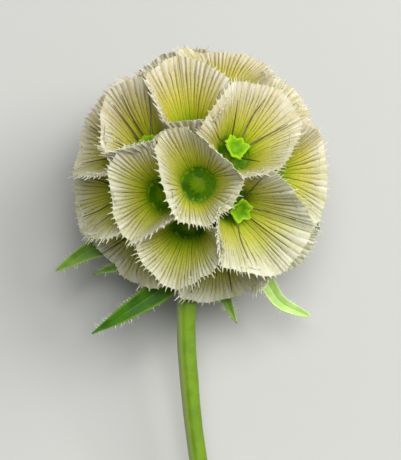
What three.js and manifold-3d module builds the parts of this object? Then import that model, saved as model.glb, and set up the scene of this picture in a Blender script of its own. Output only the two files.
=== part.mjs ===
// A starflower scabious seed head, cut with a short stem and lying on a surface.
//
// Millimetres, +Z up. The flower lies along Y, with its head towards +Y and its cut end towards -Y, and
// the origin is at the bottom centre of its box. Each piece is shaped in the head's own frame: its origin
// is the middle of the head, +Y runs up the stem's axis, +X goes to the right and +Z is the side of the
// head that looks up. One group leans that frame, so that the head and the cut end of the stem both meet
// the surface.

import * as THREE from 'three';
import { mergeVertices } from 'three/addons/utils/BufferGeometryUtils.js';
import Module from 'manifold-3d';

// Driving dimensions.
const HEAD_CENTRE = new THREE.Vector3(1.55, 31.05, 18.6); // from the bottom centre of the flower's box
const CORE_RADIUS = 10.2;
const CORE_FLAT = 9.8;          // the core is cut flat here, where the collar seats
const CORE_FLAT_SIZE = 5;
const SEAT_GAP = 0.3;           // between neighbouring pieces
const STEM_REACH = 84;          // from the middle of the head to the cut end
const STEM_END_HEIGHT = 1.4;    // of the axis at the cut end, above the surface

// The papery cup of one fruit.
const RIM_RADIUS = 19.4;        // from the middle of the head to a rim
const BULGE = 1.5;              // how much farther the rims reach round the half towards the stem
const BULGE_FULL = 0.62;        // how low on the head the bulge has its full size, as a sine
const BULGE_FALL = 0.6;         // how much of it is lost from there to the stem
const FLOOR_HEIGHT = 12.3;      // from the middle of the head to a cup's floor
const FLOOR_RADIUS = 2.5;
const ROOT_HEIGHT = 9.3;
const ROOT_RADIUS = 2.2;
const CUP_REACH = 7.8;          // mouth radius of a cup that nothing presses
const CUP_WALL = 0.6;
const CUP_FLARE = 1.5;          // 1 is a straight cone, more is a wider bell
const PLEATS = 9;
const PLEAT_DEPTH = 0.26;
const TOOTH_LENGTH = 0.5;

// How neighbouring cups share the head.
const CUP_GAP = 0.12;           // from a cup to the middle of the seam with its neighbour
const SEAM_ROUNDING = 0.25;
const LAP_PER_LEVEL = 0.35;     // how far a cup laps over a neighbour that is one level lower
const LAP_MOST = 0.8;
const LAP_STARTS = 1;           // below the rims, the laps have their full size
const NEIGHBOUR_SPREAD = 1.1;   // between the unit axes of cups that can touch
const CLEARING_PASSES = 4;

// The calyx that stands on a cup's floor, and its awns.
const CALYX_HEIGHT = 14.1;
const CALYX_RADIUS = 1.6;
const CALYX_WAIST = 0.95;
const CALYX_STALK = 0.5;
const CALYX_SINK = 0.4;         // below the cup's floor
const AWNS = 5;
const AWN_RADIUS = 0.36;
const AWN_START = 0.9;          // from the cup's axis
const AWN_SHARE = 0.92;         // how far up the cup's wall an awn reaches
const AWN_CLEARANCE = 1;        // from an awn's tip to the middle of the wall
const GOLDEN_ANGLE = 137.5;

// Each cup: the turn round the stem's axis from the side that looks up, and the rise above the head's
// equator, in degrees, where it grows; mouth, where its mouth looks if that differs; reach, its mouth's
// radius; level, as the higher of two neighbours laps over the other; laps, how far it laps over a named
// neighbour where that isn't as its level says; awns, the turn of its awns in degrees, or true for turns
// given by rule.
const CUPS = [
  {
    name: 'front', root: [-1.8, -9.5], mouth: [-1, -1], reach: 10.2, level: 2.6,
    laps: { right_low: -1.5, left: -0.6 },
  },
  {
    name: 'left', root: [-29, -17.5], mouth: [-30, -10], reach: 9.8, level: 1.8,
    laps: { far_left: -1.8, far_left_high: -1.5, low_left: -1.6 },
  },
  {
    name: 'low_front', root: [-12, -42.8], mouth: [-13, -38], reach: 7.3, level: 1.4,
    laps: { low_left: -1.8, low_right: -0.8 },
  },
  {
    name: 'right_high', root: [23, 11], mouth: [24.5, 23.5], reach: 10, level: 4,
    awns: [5, 56, 116, 161, 285],
    laps: { right: 0.2, front: 1.3, top_right: -0.7, right_low: -2.1, top_front: -1.4 },
  },
  {
    name: 'right_low', root: [24.5, -24], mouth: [39, -28], reach: 11.8, level: 2.4,
    awns: [20, 92, 165, 265, 328],
    laps: { right: 0.2, far_right_low: 1.6, low_right: 1.2 },
  },
  {
    name: 'top_front', root: [-8, 23.5], mouth: [-9, 43], reach: 9.2, level: 3.4,
    laps: { front: -1.1, left_high: -0.6, top_left: -0.9, top_right: -1 },
  },
  {
    name: 'left_high', root: [-33, 11.5], mouth: [-40, 27], reach: 9.8, level: 3,
    awns: [80, 126, 161, 230, 310],
    laps: { left: -1.4, front: -1.2, far_left: 0.1, far_left_high: 0.1, top_left: 0.1 },
  },
  {
    name: 'right', root: [60, -1], mouth: [59, -3], reach: 9.2, level: 1.1,
    laps: { far_right_low: 1 },
  },
  { name: 'right_top', root: [72, 40], reach: 8.2, level: 0.9 },
  { name: 'top_right', root: [33, 64], reach: 8, level: 1 },
  { name: 'top_left', root: [-75, 62], reach: 8, level: 0.8 },
  {
    name: 'far_left_high', root: [-62, 14.5], mouth: [-64.5, 14], reach: 8.4, level: 0.9,
    awns: [20, 90, 155, 235, 300],
  },
  {
    name: 'far_left', root: [-60, -13], mouth: [-66.5, -12], reach: 8.4, level: 0.7,
    awns: [60, 148, 205, 265, 330],
  },
  {
    name: 'low_left', root: [-78, -43], mouth: [-70, -43], reach: 10.5, level: 0.5,
    awns: [30, 100, 172, 245, 310],
  },
  {
    name: 'low_right', root: [29, -61], mouth: [38, -59], reach: 8.4, level: 0.6,
    awns: [20, 90, 165, 238, 300],
  },
  { name: 'far_right_low', root: [78, -41], reach: 8.2, level: 0.8 },
  { name: 'under', root: [180, -12], level: 2 },
  { name: 'back_1', root: [101, -2], level: 0.95, awns: true },
  { name: 'back_2', root: [141, -12], level: 1.5 },
  { name: 'back_3', root: [-143, -10], level: 1.3, awns: true },
  { name: 'back_4', root: [-103, 5], level: 0.6 },
  { name: 'back_5', root: [110, 30], level: 0.85, awns: true },
  { name: 'back_6', root: [145, 22], level: 1.2 },
  { name: 'back_7', root: [180, 25], level: 1.6, awns: true },
  { name: 'back_8', root: [-145, 24], level: 1.4 },
  { name: 'back_9', root: [-110, 36], level: 0.75 },
  { name: 'back_10', root: [108, 62], level: 0.7 },
  { name: 'back_11', root: [-165, 60], level: 1.1, awns: true },
  { name: 'back_12', root: [112, -34], level: 0.7 },
  { name: 'back_13', root: [150, -44], level: 1.05 },
  { name: 'back_14', root: [-165, -43], level: 1.25 },
  { name: 'back_15', root: [-114, -25], level: 0.65, awns: true },
];

// The collar under the head and the bracts that grow from it.
const COLLAR_TOP_RADIUS = 2.3;
const COLLAR_END_RADIUS = 1.8;
const COLLAR_LENGTH = 2.9;
const BRACT_THICKNESS = 0.6;
const BRACT_CLEARANCE = 0.75;   // from a bract's edge to the middle of a cup's wall
const BRACT_CHANNEL = 0.12;     // depth of the channel along a bract, as a share of its width
const BRACT_ROOT_SHARE = 0.45;  // width at the collar, as a share of the widest
const BRACT_TIP_SHARE = 0.18;
const BRACT_STEPS = 8;

// Each bract: its widest width, where along its rib it is widest, and the points of its midrib from the
// collar to its tip, in the head's frame.
const BRACTS = [
  {
    width: 3, widest: 0.55,
    rib: [[-1.3, -11.5, -0.6], [-9, -10.9, -2.9], [-16.2, -11.6, -4.4], [-22.9, -15.3, -4.6]],
  },
  {
    width: 2.2, widest: 0.5,
    rib: [[-1.4, -11.7, -0.3], [-8, -14, -2.4], [-13.6, -14.7, -4], [-17, -15.9, -4.2]],
  },
  {
    width: 3.6, widest: 0.42,
    rib: [[-1.4, -11.4, 1], [-4, -16.2, 2.9], [-10, -20.6, 3.4], [-16.7, -24.8, 3.2]],
  },
  {
    width: 2, widest: 0.6,
    rib: [[-0.5, -11.6, -1], [2.4, -16, -3.4], [3.9, -19.6, -3.9], [5.7, -23.5, -3]],
  },
  {
    width: 2.5, widest: 0.6,
    rib: [
      [-0.4, -11.6, -0.7], [5.2, -12.9, -3.4], [9.8, -16.2, -5], [12.6, -20.2, -5], [17.4, -22.5, -4.2],
    ],
  },
  {
    width: 2.6, widest: 0.5,
    rib: [[-0.5, -11.6, -1], [3.2, -17, -6.2], [6.6, -17.4, -12], [10.2, -14.9, -15]],
  },
  {
    width: 2.4, widest: 0.5,
    rib: [[-0.9, -11.6, -1.4], [-0.2, -17.2, -6.8], [0.8, -18, -11.8], [2.2, -16.4, -14.9]],
  },
  {
    width: 2.6, widest: 0.5,
    rib: [[-1.3, -11.6, -1.2], [-4, -17, -5.8], [-8, -16.8, -11], [-12.2, -13.8, -14.2]],
  },
];

// The stem's axis below the collar, in the head's frame, down to its cut end.
const STEM_ROUTE = [
  [-0.9, -13.35], [-0.93, -14.3], [-1.6, -16.6], [-2.1, -19.6], [-2.2, -26], [-1.8, -31.7],
  [-1.3, -37.3], [-0.35, -44.5], [1.3, -53], [3.6, -62], [6.6, -72], [10.4, -83.35],
];
const STEM_TOP_RADIUS = 1.55;
const STEM_END_RADIUS = 1.3;
const STEM_TAPER_SHARE = 0.62;  // of its length, after which the stem keeps its end radius
const STEM_RIBS = 6;
const STEM_RIB_DEPTH = 0.1;
const STEM_STEPS = 26;

const UP = new THREE.Vector3(0, 1, 0);
const FACE = new THREE.Vector3(0, 0, 1);
const mix = THREE.MathUtils.lerp;
const degrees = THREE.MathUtils.degToRad;
const { clamp, smoothstep } = THREE.MathUtils;

const lean = Math.asin((HEAD_CENTRE.z - STEM_END_HEIGHT) / STEM_REACH);
const bractLines = BRACTS.map((bract) => ({
  points: curveThrough(bract.rib).getSpacedPoints(BRACT_STEPS * 3),
  room: bract.width / 2 + BRACT_CLEARANCE,
}));

const wasm = await Module();
wasm.setup();

// Bodies.

/** Closes a row of rings, each with the same number of points, into one body with a fan at each end. */
function loft(rings, flipFrom = Infinity) {
  const count = rings[0].length;
  const points = rings.flat();
  const triangles = [];
  for (let i = 0; i < rings.length - 1; i += 1) {
    for (let j = 0; j < count; j += 1) {
      const next = (j + 1) % count;
      const [a, b] = [i * count + j, i * count + next];
      const [c, d] = [b + count, a + count];
      triangles.push(...(i < flipFrom ? [a, b, c, a, c, d] : [a, b, d, b, c, d]));
    }
  }
  addFan(points, triangles, rings[0], 0, true);
  addFan(points, triangles, rings.at(-1), (rings.length - 1) * count, false);
  return indexed(points, triangles);
}

/** Closes a ring and a tip into one body. */
function spike(ring, tip) {
  const triangles = [];
  ring.forEach((_, j) => {
    const next = (j + 1) % ring.length;
    triangles.push(j, next, ring.length);
    if (j > 0 && next > 0) {
      triangles.push(0, next, j);
    }
  });
  return indexed([...ring, tip], triangles);
}

function addFan(points, triangles, ring, first, reversed) {
  const total = ring.reduce((sum, point) => sum.add(point), new THREE.Vector3());
  const hub = points.push(total.divideScalar(ring.length)) - 1;
  for (let j = 0; j < ring.length; j += 1) {
    const [a, b] = [first + j, first + ((j + 1) % ring.length)];
    triangles.push(...(reversed ? [hub, b, a] : [hub, a, b]));
  }
}

function indexed(points, triangles) {
  const geometry = new THREE.BufferGeometry().setFromPoints(points);
  geometry.setIndex(triangles);
  return geometry;
}

function toSolid(source) {
  const bare = source.clone();
  bare.deleteAttribute('normal');
  bare.deleteAttribute('uv');
  const geometry = mergeVertices(bare, 1e-4);
  return new wasm.Manifold(new wasm.Mesh({
    numProp: 3,
    vertProperties: new Float32Array(geometry.attributes.position.array),
    triVerts: new Uint32Array(geometry.index.array),
  }));
}

function join(geometries) {
  return geometries.map(toSolid).reduce((whole, next) => whole.add(next));
}

function toGeometry(solid) {
  const mesh = solid.getMesh();
  const geometry = new THREE.BufferGeometry();
  const positions = new Float32Array(mesh.vertProperties);
  geometry.setAttribute('position', new THREE.BufferAttribute(positions, 3));
  geometry.setIndex(new THREE.BufferAttribute(new Uint32Array(mesh.triVerts), 1));
  geometry.computeVertexNormals();
  return geometry;
}

// Places on the head.

function curveThrough(points) {
  return new THREE.CatmullRomCurve3(points.map(([x, y, z = 0]) => new THREE.Vector3(x, y, z)));
}

function direction([turn, rise]) {
  const [t, r] = [degrees(turn), degrees(rise)];
  return new THREE.Vector3(Math.cos(r) * Math.sin(t), Math.sin(r), Math.cos(r) * Math.cos(t));
}

/** The way a cup looks at a distance from the middle of the head: it may lean towards its mouth. */
function axisAt(cup, distance) {
  const share = clamp((distance - FLOOR_HEIGHT) / (RIM_RADIUS - FLOOR_HEIGHT), 0, 1);
  return direction(cup.root).lerp(direction(cup.mouth ?? cup.root), share).normalize();
}

function sidewaysOf(axis) {
  const right = UP.clone().cross(axis).normalize();
  return { right, top: axis.clone().cross(right) };
}

/** Points round an axis at one height; the radius may be a rule for each point. */
function ringAt(axis, height, radius, count) {
  const { right, top } = sidewaysOf(axis);
  return Array.from({ length: count }, (_, j) => {
    const angle = (2 * Math.PI * j) / count;
    const size = typeof radius === 'function' ? radius(j) : radius;
    return axis.clone().multiplyScalar(height)
      .addScaledVector(right, Math.cos(angle) * size)
      .addScaledVector(top, Math.sin(angle) * size);
  });
}

// Seams between cups.

/** A soft version of max(0, value), which rounds the corners between seams. */
function softExcess(value) {
  return SEAM_ROUNDING * Math.log1p(Math.exp(value / SEAM_ROUNDING));
}

function lapOver(cup, other, distance) {
  const usual = clamp((cup.level - other.level) * LAP_PER_LEVEL, -LAP_MOST, LAP_MOST);
  const size = cup.laps?.[other.name] ?? -(other.laps?.[cup.name] ?? -usual);
  return size * smoothstep(distance, FLOOR_HEIGHT, RIM_RADIUS - LAP_STARTS);
}

/** Moves a point of a cup's wall back from the seams with its neighbours, and clear of the bracts. */
function keepClear(point, cup, margin) {
  const distance = point.length();
  const axis = axisAt(cup, distance);
  for (let pass = 0; pass < CLEARING_PASSES; pass += 1) {
    bractLines.forEach((line) => bendRound(point, axis, line, margin + line.room));
    neighboursOf(cup, distance).forEach(({ across, lap }) => {
      const room = point.dot(across) + lap - margin;
      point.addScaledVector(across, softExcess(-room));
    });
    point.setLength(distance);
  }
  return point;
}

/** The cups that can touch a cup at a distance from the middle, each with the way from it to the cup. */
function neighboursOf(cup, distance) {
  return CUPS.filter((other) => other !== cup)
    .map((other) => ({
      across: axisAt(cup, distance).sub(axisAt(other, distance)),
      lap: lapOver(cup, other, distance),
    }))
    .filter(({ across }) => across.length() <= NEIGHBOUR_SPREAD)
    .map(({ across, lap }) => ({ across: across.normalize(), lap }));
}

/** Bends a point of a wall round a bract, always to its own cup's side of it. */
function bendRound(point, axis, line, room) {
  const away = (place) => place.distanceToSquared(point);
  const nearest = line.points.reduce((a, b) => (away(a) < away(b) ? a : b));
  const towardsCup = axis.clone().multiplyScalar(point.length()).sub(nearest).normalize();
  const offset = point.clone().sub(nearest);
  const height = offset.dot(towardsCup);
  const spreadSquared = offset.lengthSq() - height ** 2;
  point.addScaledVector(towardsCup, softExcess(room - spreadSquared / (2 * room) - height));
}

// The seed head.

/** A point in the middle of a cup's wall: share is 0 at its floor and 1 at its rim. */
function wallPoint(cup, share, angle) {
  const reach = cup.reach ?? CUP_REACH;
  const rimHeight = Math.sqrt(RIM_RADIUS ** 2 - reach ** 2);
  const height = mix(FLOOR_HEIGHT, rimHeight, share);
  const wall = CUP_WALL / 2;
  const radius = wall + mix(FLOOR_RADIUS, reach, share ** CUP_FLARE);
  const axis = axisAt(cup, height);
  const { right, top } = sidewaysOf(axis);
  const point = axis.clone().multiplyScalar(height)
    .addScaledVector(right, Math.cos(angle) * radius)
    .addScaledVector(top, Math.sin(angle) * radius);
  const margin = wall + PLEAT_DEPTH * share + CUP_GAP;
  swell(keepClear(point, cup, margin));
  bractLines.forEach((line) => bendRound(point, axisAt(cup, point.length()), line, margin + line.room));
  return point;
}

/** Carries a point of a cup outwards where the head bulges. */
function swell(point) {
  const distance = point.length();
  const lowness = -point.y / distance;
  const low = smoothstep(lowness, 0, BULGE_FULL) * (1 - BULGE_FALL * smoothstep(lowness, BULGE_FULL, 1));
  const edge = (1 - (point.z / distance) ** 2) ** 2;
  const rise = smoothstep(distance, FLOOR_HEIGHT, RIM_RADIUS);
  point.setLength(distance + BULGE * low * edge * rise);
}

/** One cup: up its outer wall from its root, over its toothed rim and down its inner wall to its floor. */
function cupGeometry(cup) {
  const count = PLEATS * 2;
  const shares = [0, 0.5, 1];
  const middles = shares.map((share) => Array.from({ length: count }, (_, j) => (
    wallPoint(cup, share, (2 * Math.PI * j) / count))));
  const walls = shares.map((share, row) => pleatedWall(middles, row, share));
  const root = ringAt(axisAt(cup, 0), ROOT_HEIGHT, ROOT_RADIUS, count);
  const rings = [
    root, walls[1].outer, walls[2].outer, walls[2].inner, walls[1].inner, walls[0].inner,
  ];
  return loft(rings, 2);
}

/** The outer and inner face of a cup's wall at one row of its middle points, folded into pleats. */
function pleatedWall(middles, row, share) {
  const count = middles[row].length;
  const below = middles[Math.max(row - 1, 0)];
  const above = middles[Math.min(row + 1, middles.length - 1)];
  const faces = middles[row].map((point, j) => {
    const round = middles[row][(j + 1) % count].clone().sub(middles[row][(j + count - 1) % count]);
    const rise = above[j].clone().sub(below[j]).normalize();
    const normal = round.cross(rise).normalize();
    const ridge = j % 2 === 1;
    const pleat = PLEAT_DEPTH * share * (ridge ? 1 : -1);
    const tooth = share === 1 && ridge ? TOOTH_LENGTH : 0;
    return { edge: point.clone().addScaledVector(rise, tooth).addScaledVector(normal, pleat), normal };
  });
  return {
    outer: faces.map(({ edge, normal }) => edge.clone().addScaledVector(normal, CUP_WALL / 2)),
    inner: faces.map(({ edge, normal }) => edge.clone().addScaledVector(normal, -CUP_WALL / 2)),
  };
}

function calyxGeometry(cup) {
  const axis = axisAt(cup, CALYX_HEIGHT);
  const star = (j) => (j % 2 ? CALYX_WAIST : CALYX_RADIUS);
  const stalk = ringAt(axis, FLOOR_HEIGHT - CALYX_SINK, CALYX_STALK, AWNS * 2);
  return loft([stalk, ringAt(axis, CALYX_HEIGHT, star, AWNS * 2)]);
}

function awnTurns(cup, index) {
  if (Array.isArray(cup.awns)) {
    return cup.awns;
  }
  return Array.from({ length: AWNS }, (_, k) => index * GOLDEN_ANGLE + (k * 360) / AWNS);
}

/** One awn: a three-sided spike from the edge of the calyx to a point just inside the cup's mouth. */
function awnGeometry(cup, turn) {
  const axis = axisAt(cup, CALYX_HEIGHT);
  const angle = degrees(turn);
  const { right, top } = sidewaysOf(axis);
  const out = right.multiplyScalar(Math.cos(angle)).addScaledVector(top, Math.sin(angle));
  const start = axis.clone().multiplyScalar(CALYX_HEIGHT - AWN_RADIUS).addScaledVector(out, AWN_START);
  const tip = wallPoint(cup, AWN_SHARE, angle).addScaledVector(out, -AWN_CLEARANCE);
  const side = axis.clone().cross(out);
  const lift = tip.clone().sub(start).normalize().cross(side);
  const base = [0, 1, 2].map((corner) => {
    const around = (2 * Math.PI * corner) / 3;
    return start.clone().addScaledVector(side, Math.cos(around) * AWN_RADIUS)
      .addScaledVector(lift, Math.sin(around) * AWN_RADIUS);
  });
  return spike(base, tip);
}

/** What would be under the surface that the flower lies on. */
function underSurface() {
  const size = STEM_REACH;
  const block = new THREE.BoxGeometry(size, size, size);
  block.translate(0, 0, -HEAD_CENTRE.z - size / 2);
  return toSolid(block.rotateX(-lean));
}

function belowCoreFlat() {
  const block = new THREE.BoxGeometry(CORE_FLAT_SIZE, CORE_FLAT_SIZE, CORE_FLAT_SIZE);
  return toSolid(block.translate(0, -CORE_FLAT - CORE_FLAT_SIZE / 2, 0));
}

function seedHead() {
  const parts = [new THREE.IcosahedronGeometry(CORE_RADIUS, 2), ...CUPS.map(cupGeometry)];
  CUPS.forEach((cup, index) => {
    if (cup.awns) {
      parts.push(calyxGeometry(cup));
      parts.push(...awnTurns(cup, index).map((turn) => awnGeometry(cup, turn)));
    }
  });
  return join(parts).subtract(underSurface()).subtract(belowCoreFlat());
}

// The involucre.

function bractGeometry(bract) {
  const curve = curveThrough(bract.rib);
  const rings = Array.from({ length: BRACT_STEPS + 1 }, (_, i) => {
    const share = i / BRACT_STEPS;
    const tangent = curve.getTangentAt(share);
    const side = FACE.clone().cross(tangent).normalize();
    const normal = tangent.clone().cross(side).normalize();
    return bractSection(curve.getPointAt(share), side, normal, bractWidth(bract, share));
  });
  return loft(rings);
}

/** A bract's width along its rib: narrow at the collar, then widest, then down to its tip. */
function bractWidth({ width, widest }, share) {
  const opening = mix(BRACT_ROOT_SHARE, 1, smoothstep(share, 0, widest));
  const closing = Math.max(0, (share - widest) / (1 - widest));
  return width * opening * mix(1, BRACT_TIP_SHARE, closing);
}

/** A shallow channel: its edges stand above its midrib. */
function bractSection(point, side, normal, width) {
  const half = width / 2;
  const wall = BRACT_THICKNESS / 2;
  const edge = BRACT_CHANNEL * width;
  const corners = [
    [half, edge + wall], [0, wall], [-half, edge + wall],
    [-half, edge - wall], [0, -wall], [half, edge - wall],
  ];
  return corners.map(([across, out]) => (
    point.clone().addScaledVector(side, across).addScaledVector(normal, out)));
}

function involucre() {
  const collar = new THREE.CylinderGeometry(COLLAR_TOP_RADIUS, COLLAR_END_RADIUS, COLLAR_LENGTH, 16);
  collar.translate(STEM_ROUTE[0][0], -CORE_FLAT - SEAT_GAP - COLLAR_LENGTH / 2, 0);
  return join([collar, ...BRACTS.map(bractGeometry)]).subtract(underSurface());
}

// The stem.

function stem() {
  const curve = curveThrough(STEM_ROUTE);
  const rings = Array.from({ length: STEM_STEPS + 1 }, (_, i) => {
    const share = i / STEM_STEPS;
    const side = curve.getTangentAt(share).cross(FACE).normalize();
    const radius = mix(STEM_TOP_RADIUS, STEM_END_RADIUS, Math.min(1, share / STEM_TAPER_SHARE));
    return Array.from({ length: STEM_RIBS * 2 }, (__, j) => {
      const angle = (Math.PI * j) / STEM_RIBS;
      const size = radius - (j % 2 ? STEM_RIB_DEPTH : 0);
      return curve.getPointAt(share).addScaledVector(side, Math.sin(angle) * size)
        .addScaledVector(FACE, Math.cos(angle) * size);
    });
  });
  return loft(rings);
}

// The flower.

function piece(name, geometry, color, roughness) {
  const mesh = new THREE.Mesh(geometry, new THREE.MeshStandardMaterial({ color, roughness, metalness: 0 }));
  mesh.name = name;
  return mesh;
}

const head = new THREE.Group();
head.position.copy(HEAD_CENTRE);
head.rotation.x = lean;
head.add(piece('seed_head', toGeometry(seedHead()), 0xd6cf8f, 0.75));
head.add(piece('involucre', toGeometry(involucre()), 0x5f9a2c, 0.6));
head.add(piece('stem', stem(), 0x86b23c, 0.5));

const flower = new THREE.Group();
flower.add(head);

export default flower;
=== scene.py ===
"""Looks for a starflower scabious seed head that lies on a surface.

Shapes are worked out in millimetres in the head's own frame: its origin is the middle of the head, +Y runs up
the stem's axis, +X goes to the right and +Z is the side that looks up. Head.to_world leans them into the row
frame, and every mesh is written in metres.
"""

import logging  # noqa: E402
import math  # noqa: E402
from collections.abc import Callable, Iterable, Iterator, Sequence  # noqa: E402
from dataclasses import dataclass, field  # noqa: E402
from enum import Enum  # noqa: E402

import bpy  # noqa: E402
import numpy as np  # noqa: E402
from mathutils import Matrix, Vector  # noqa: E402


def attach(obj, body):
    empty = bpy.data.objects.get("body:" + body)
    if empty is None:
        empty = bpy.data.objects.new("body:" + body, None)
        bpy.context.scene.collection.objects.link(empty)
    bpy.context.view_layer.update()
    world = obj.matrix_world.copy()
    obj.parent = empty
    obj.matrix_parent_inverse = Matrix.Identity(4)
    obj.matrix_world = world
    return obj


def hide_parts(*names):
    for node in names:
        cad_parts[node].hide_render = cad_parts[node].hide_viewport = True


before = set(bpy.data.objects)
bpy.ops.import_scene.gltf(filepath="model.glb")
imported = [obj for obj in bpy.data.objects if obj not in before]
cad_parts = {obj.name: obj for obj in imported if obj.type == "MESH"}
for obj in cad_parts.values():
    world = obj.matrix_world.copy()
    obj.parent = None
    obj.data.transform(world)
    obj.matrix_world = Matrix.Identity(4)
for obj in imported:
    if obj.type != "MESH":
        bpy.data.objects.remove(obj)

MM = 0.001
BODY = "root"
UV_NAME = "UVMap"
WELD_DISTANCE = 2e-7
CURVE_SAMPLES = 24
BRACT_STEPS = 24
RIB_CORE = 0.012
FACING = np.array((0.0, 0.0, 1.0))

Point = tuple[float, float, float]
Colour = tuple[float, float, float]

log = logging.getLogger("seed_head")


class Slot(Enum):
    """The material slots."""

    CUPS = "papery_cups"
    BRACTS = "green_bracts"
    STEM = "green_stem"


class Tone(Enum):
    """The finishes of the bracts, by their materials' names. Apart from the green one, the darker finish is
    painted shade and the paler one painted light.
    """

    DEEP = "shaded_bract"
    GREEN = "green_bract"
    PALE = "lit_bract"


# Numbers and arrays.


def mix(low: np.ndarray | float, high: np.ndarray | float, share: np.ndarray | float) -> np.ndarray | float:
    """Goes in a straight line from low at share 0 to high at share 1."""
    return low + (high - low) * share


def ease(value: np.ndarray | float, low: float, high: float) -> np.ndarray | float:
    """Rises smoothly from 0 at low to 1 at high."""
    share = np.clip((value - low) / (high - low), 0.0, 1.0)
    return share * share * (3.0 - 2.0 * share)


def length_of(vectors: np.ndarray) -> np.ndarray:
    """The length of each vector, with its last axis kept."""
    return np.linalg.norm(vectors, axis=-1, keepdims=True)


def unit(vectors: np.ndarray) -> np.ndarray:
    """Each vector at length 1."""
    return vectors / np.maximum(length_of(vectors), 1e-12)


def dot(a: np.ndarray, b: np.ndarray) -> np.ndarray:
    """The dot product along the last axis, which is kept."""
    return (a * b).sum(axis=-1, keepdims=True)


def resample(points: np.ndarray, at: np.ndarray, wanted: np.ndarray) -> np.ndarray:
    """Slides the points of a grid along its columns.

    Args:
        points: The grid, a row for each place in at.
        at: The places of its rows, rising.
        wanted: The places of the new rows, which may differ from column to column.

    Returns:
        A grid with a row and a column for each wanted place.
    """
    index = np.clip(np.searchsorted(at, wanted, side="right") - 1, 0, len(at) - 2)
    share = (wanted - at[index]) / (at[index + 1] - at[index])
    columns = np.arange(points.shape[1])[None, :]
    return mix(points[index, columns], points[index + 1, columns], share[..., None])


def linear(channel: int) -> float:
    """The linear value of an sRGB channel of 0 to 255."""
    share = channel / 255.0
    return share / 12.92 if share <= 0.04045 else ((share + 0.055) / 1.055) ** 2.4


def srgb(red: int, green: int, blue: int) -> Colour:
    """The linear colour of three sRGB channels of 0 to 255."""
    return linear(red), linear(green), linear(blue)


WHITE = srgb(252, 250, 240)
STRAW = srgb(242, 228, 142)
RIPE = srgb(255, 240, 232)
FROST = srgb(236, 238, 204)


def smooth_path(points: Sequence[Point], steps: int) -> np.ndarray:
    """A centripetal Catmull-Rom curve through the points, as evenly spaced points.

    Args:
        points: The points that the curve passes through.
        steps: How many stretches the curve is cut into.

    Returns:
        An array of steps + 1 points.
    """
    given = np.array(points, float)
    padded = np.vstack((2 * given[0] - given[1], given, 2 * given[-1] - given[-2]))
    dense = []
    for i in range(len(given) - 1):
        quad = padded[i : i + 4]
        knots = np.concatenate(([0.0], np.cumsum(np.sqrt(length_of(np.diff(quad, axis=0))[:, 0]))))
        spans = ((knots[:3], knots[1:]), (knots[:2], knots[2:]), (knots[1:2], knots[2:3]))
        for t in np.linspace(knots[1], knots[2], CURVE_SAMPLES, endpoint=i == len(given) - 2):
            layer = quad
            for low, high in spans:
                share = ((t - low) / (high - low))[:, None]
                layer = layer[:-1] * (1 - share) + layer[1:] * share
            dense.append(layer[0])
    curve = np.array(dense)
    run = np.concatenate(([0.0], np.cumsum(length_of(np.diff(curve, axis=0))[:, 0])))
    wanted = np.linspace(0.0, run[-1], steps + 1)
    return np.stack([np.interp(wanted, run, curve[:, k]) for k in range(3)], axis=1)


# Places on the head.


@dataclass(frozen=True)
class Head:
    """The middle of the head in the row frame, how the flower leans and how its rims lie, in millimetres.

    Attributes:
        centre: The middle of the head.
        stem_reach: From there to the stem's cut end.
        stem_end_height: Of the stem's axis at its cut end, above the surface.
        rim_radius: From the middle of the head to a rim.
        floor_height: From the middle of the head to a cup's floor.
        pressed_below: The height below which the flower is pressed flat.
        bulge: How much farther the rims reach round the half of the head that is towards the stem.
        bulge_full: How low on the head the bulge has its full size, as a sine.
        bulge_fall: How much of it is lost from there to the stem.
    """

    centre: Point = (1.55, 31.05, 18.6)
    stem_reach: float = 84.0
    stem_end_height: float = 1.4
    rim_radius: float = 19.4
    floor_height: float = 12.3
    pressed_below: float = 1.2
    bulge: float = 1.5
    bulge_full: float = 0.62
    bulge_fall: float = 0.6

    @property
    def lean(self) -> float:
        """How far the stem's axis rises towards the head, in radians."""
        return math.asin((self.centre[2] - self.stem_end_height) / self.stem_reach)

    def swell(self, points: np.ndarray) -> np.ndarray:
        """Carries the rims outwards round the half of the head that is towards the stem.

        Args:
            points: Points of a cup, with their three numbers along the last axis.

        Returns:
            The moved points.
        """
        distance = length_of(points)
        way = points / distance
        lowness = -way[..., 1:2]
        low = ease(lowness, 0.0, self.bulge_full)
        low = low * (1.0 - self.bulge_fall * ease(lowness, self.bulge_full, 1.0))
        edge = (1.0 - way[..., 2:3] ** 2) ** 2
        rise = ease(distance, self.floor_height, self.rim_radius)
        return points + way * self.bulge * low * edge * rise

    def to_world(self, points: np.ndarray) -> np.ndarray:
        """Takes points to the row frame, and presses flat what would be under the surface.

        Args:
            points: Points in the head's frame, with their three numbers along the last axis.

        Returns:
            The points in the row frame, in millimetres.
        """
        x, y, z = np.moveaxis(points, -1, 0)
        cos, sin = math.cos(self.lean), math.sin(self.lean)
        world = np.stack((x, y * cos - z * sin, y * sin + z * cos), axis=-1) + np.array(self.centre)
        low = self.pressed_below
        height = world[..., 2]
        world[..., 2] = np.where(height < low, low * np.exp((height - low) / low), height)
        return world


HEAD = Head()
UP = np.array((0.0, 1.0, 0.0))


def direction(turn: float, rise: float) -> np.ndarray:
    """The unit vector at a turn round the stem's axis and a rise above the head's equator, in degrees."""
    t, r = math.radians(turn), math.radians(rise)
    return np.array((math.cos(r) * math.sin(t), math.sin(r), math.cos(r) * math.cos(t)))


def sideways_of(axis: np.ndarray) -> tuple[np.ndarray, np.ndarray]:
    """The right and top directions square to each axis."""
    right = unit(np.cross(UP, axis))
    return right, np.cross(axis, right)


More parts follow.
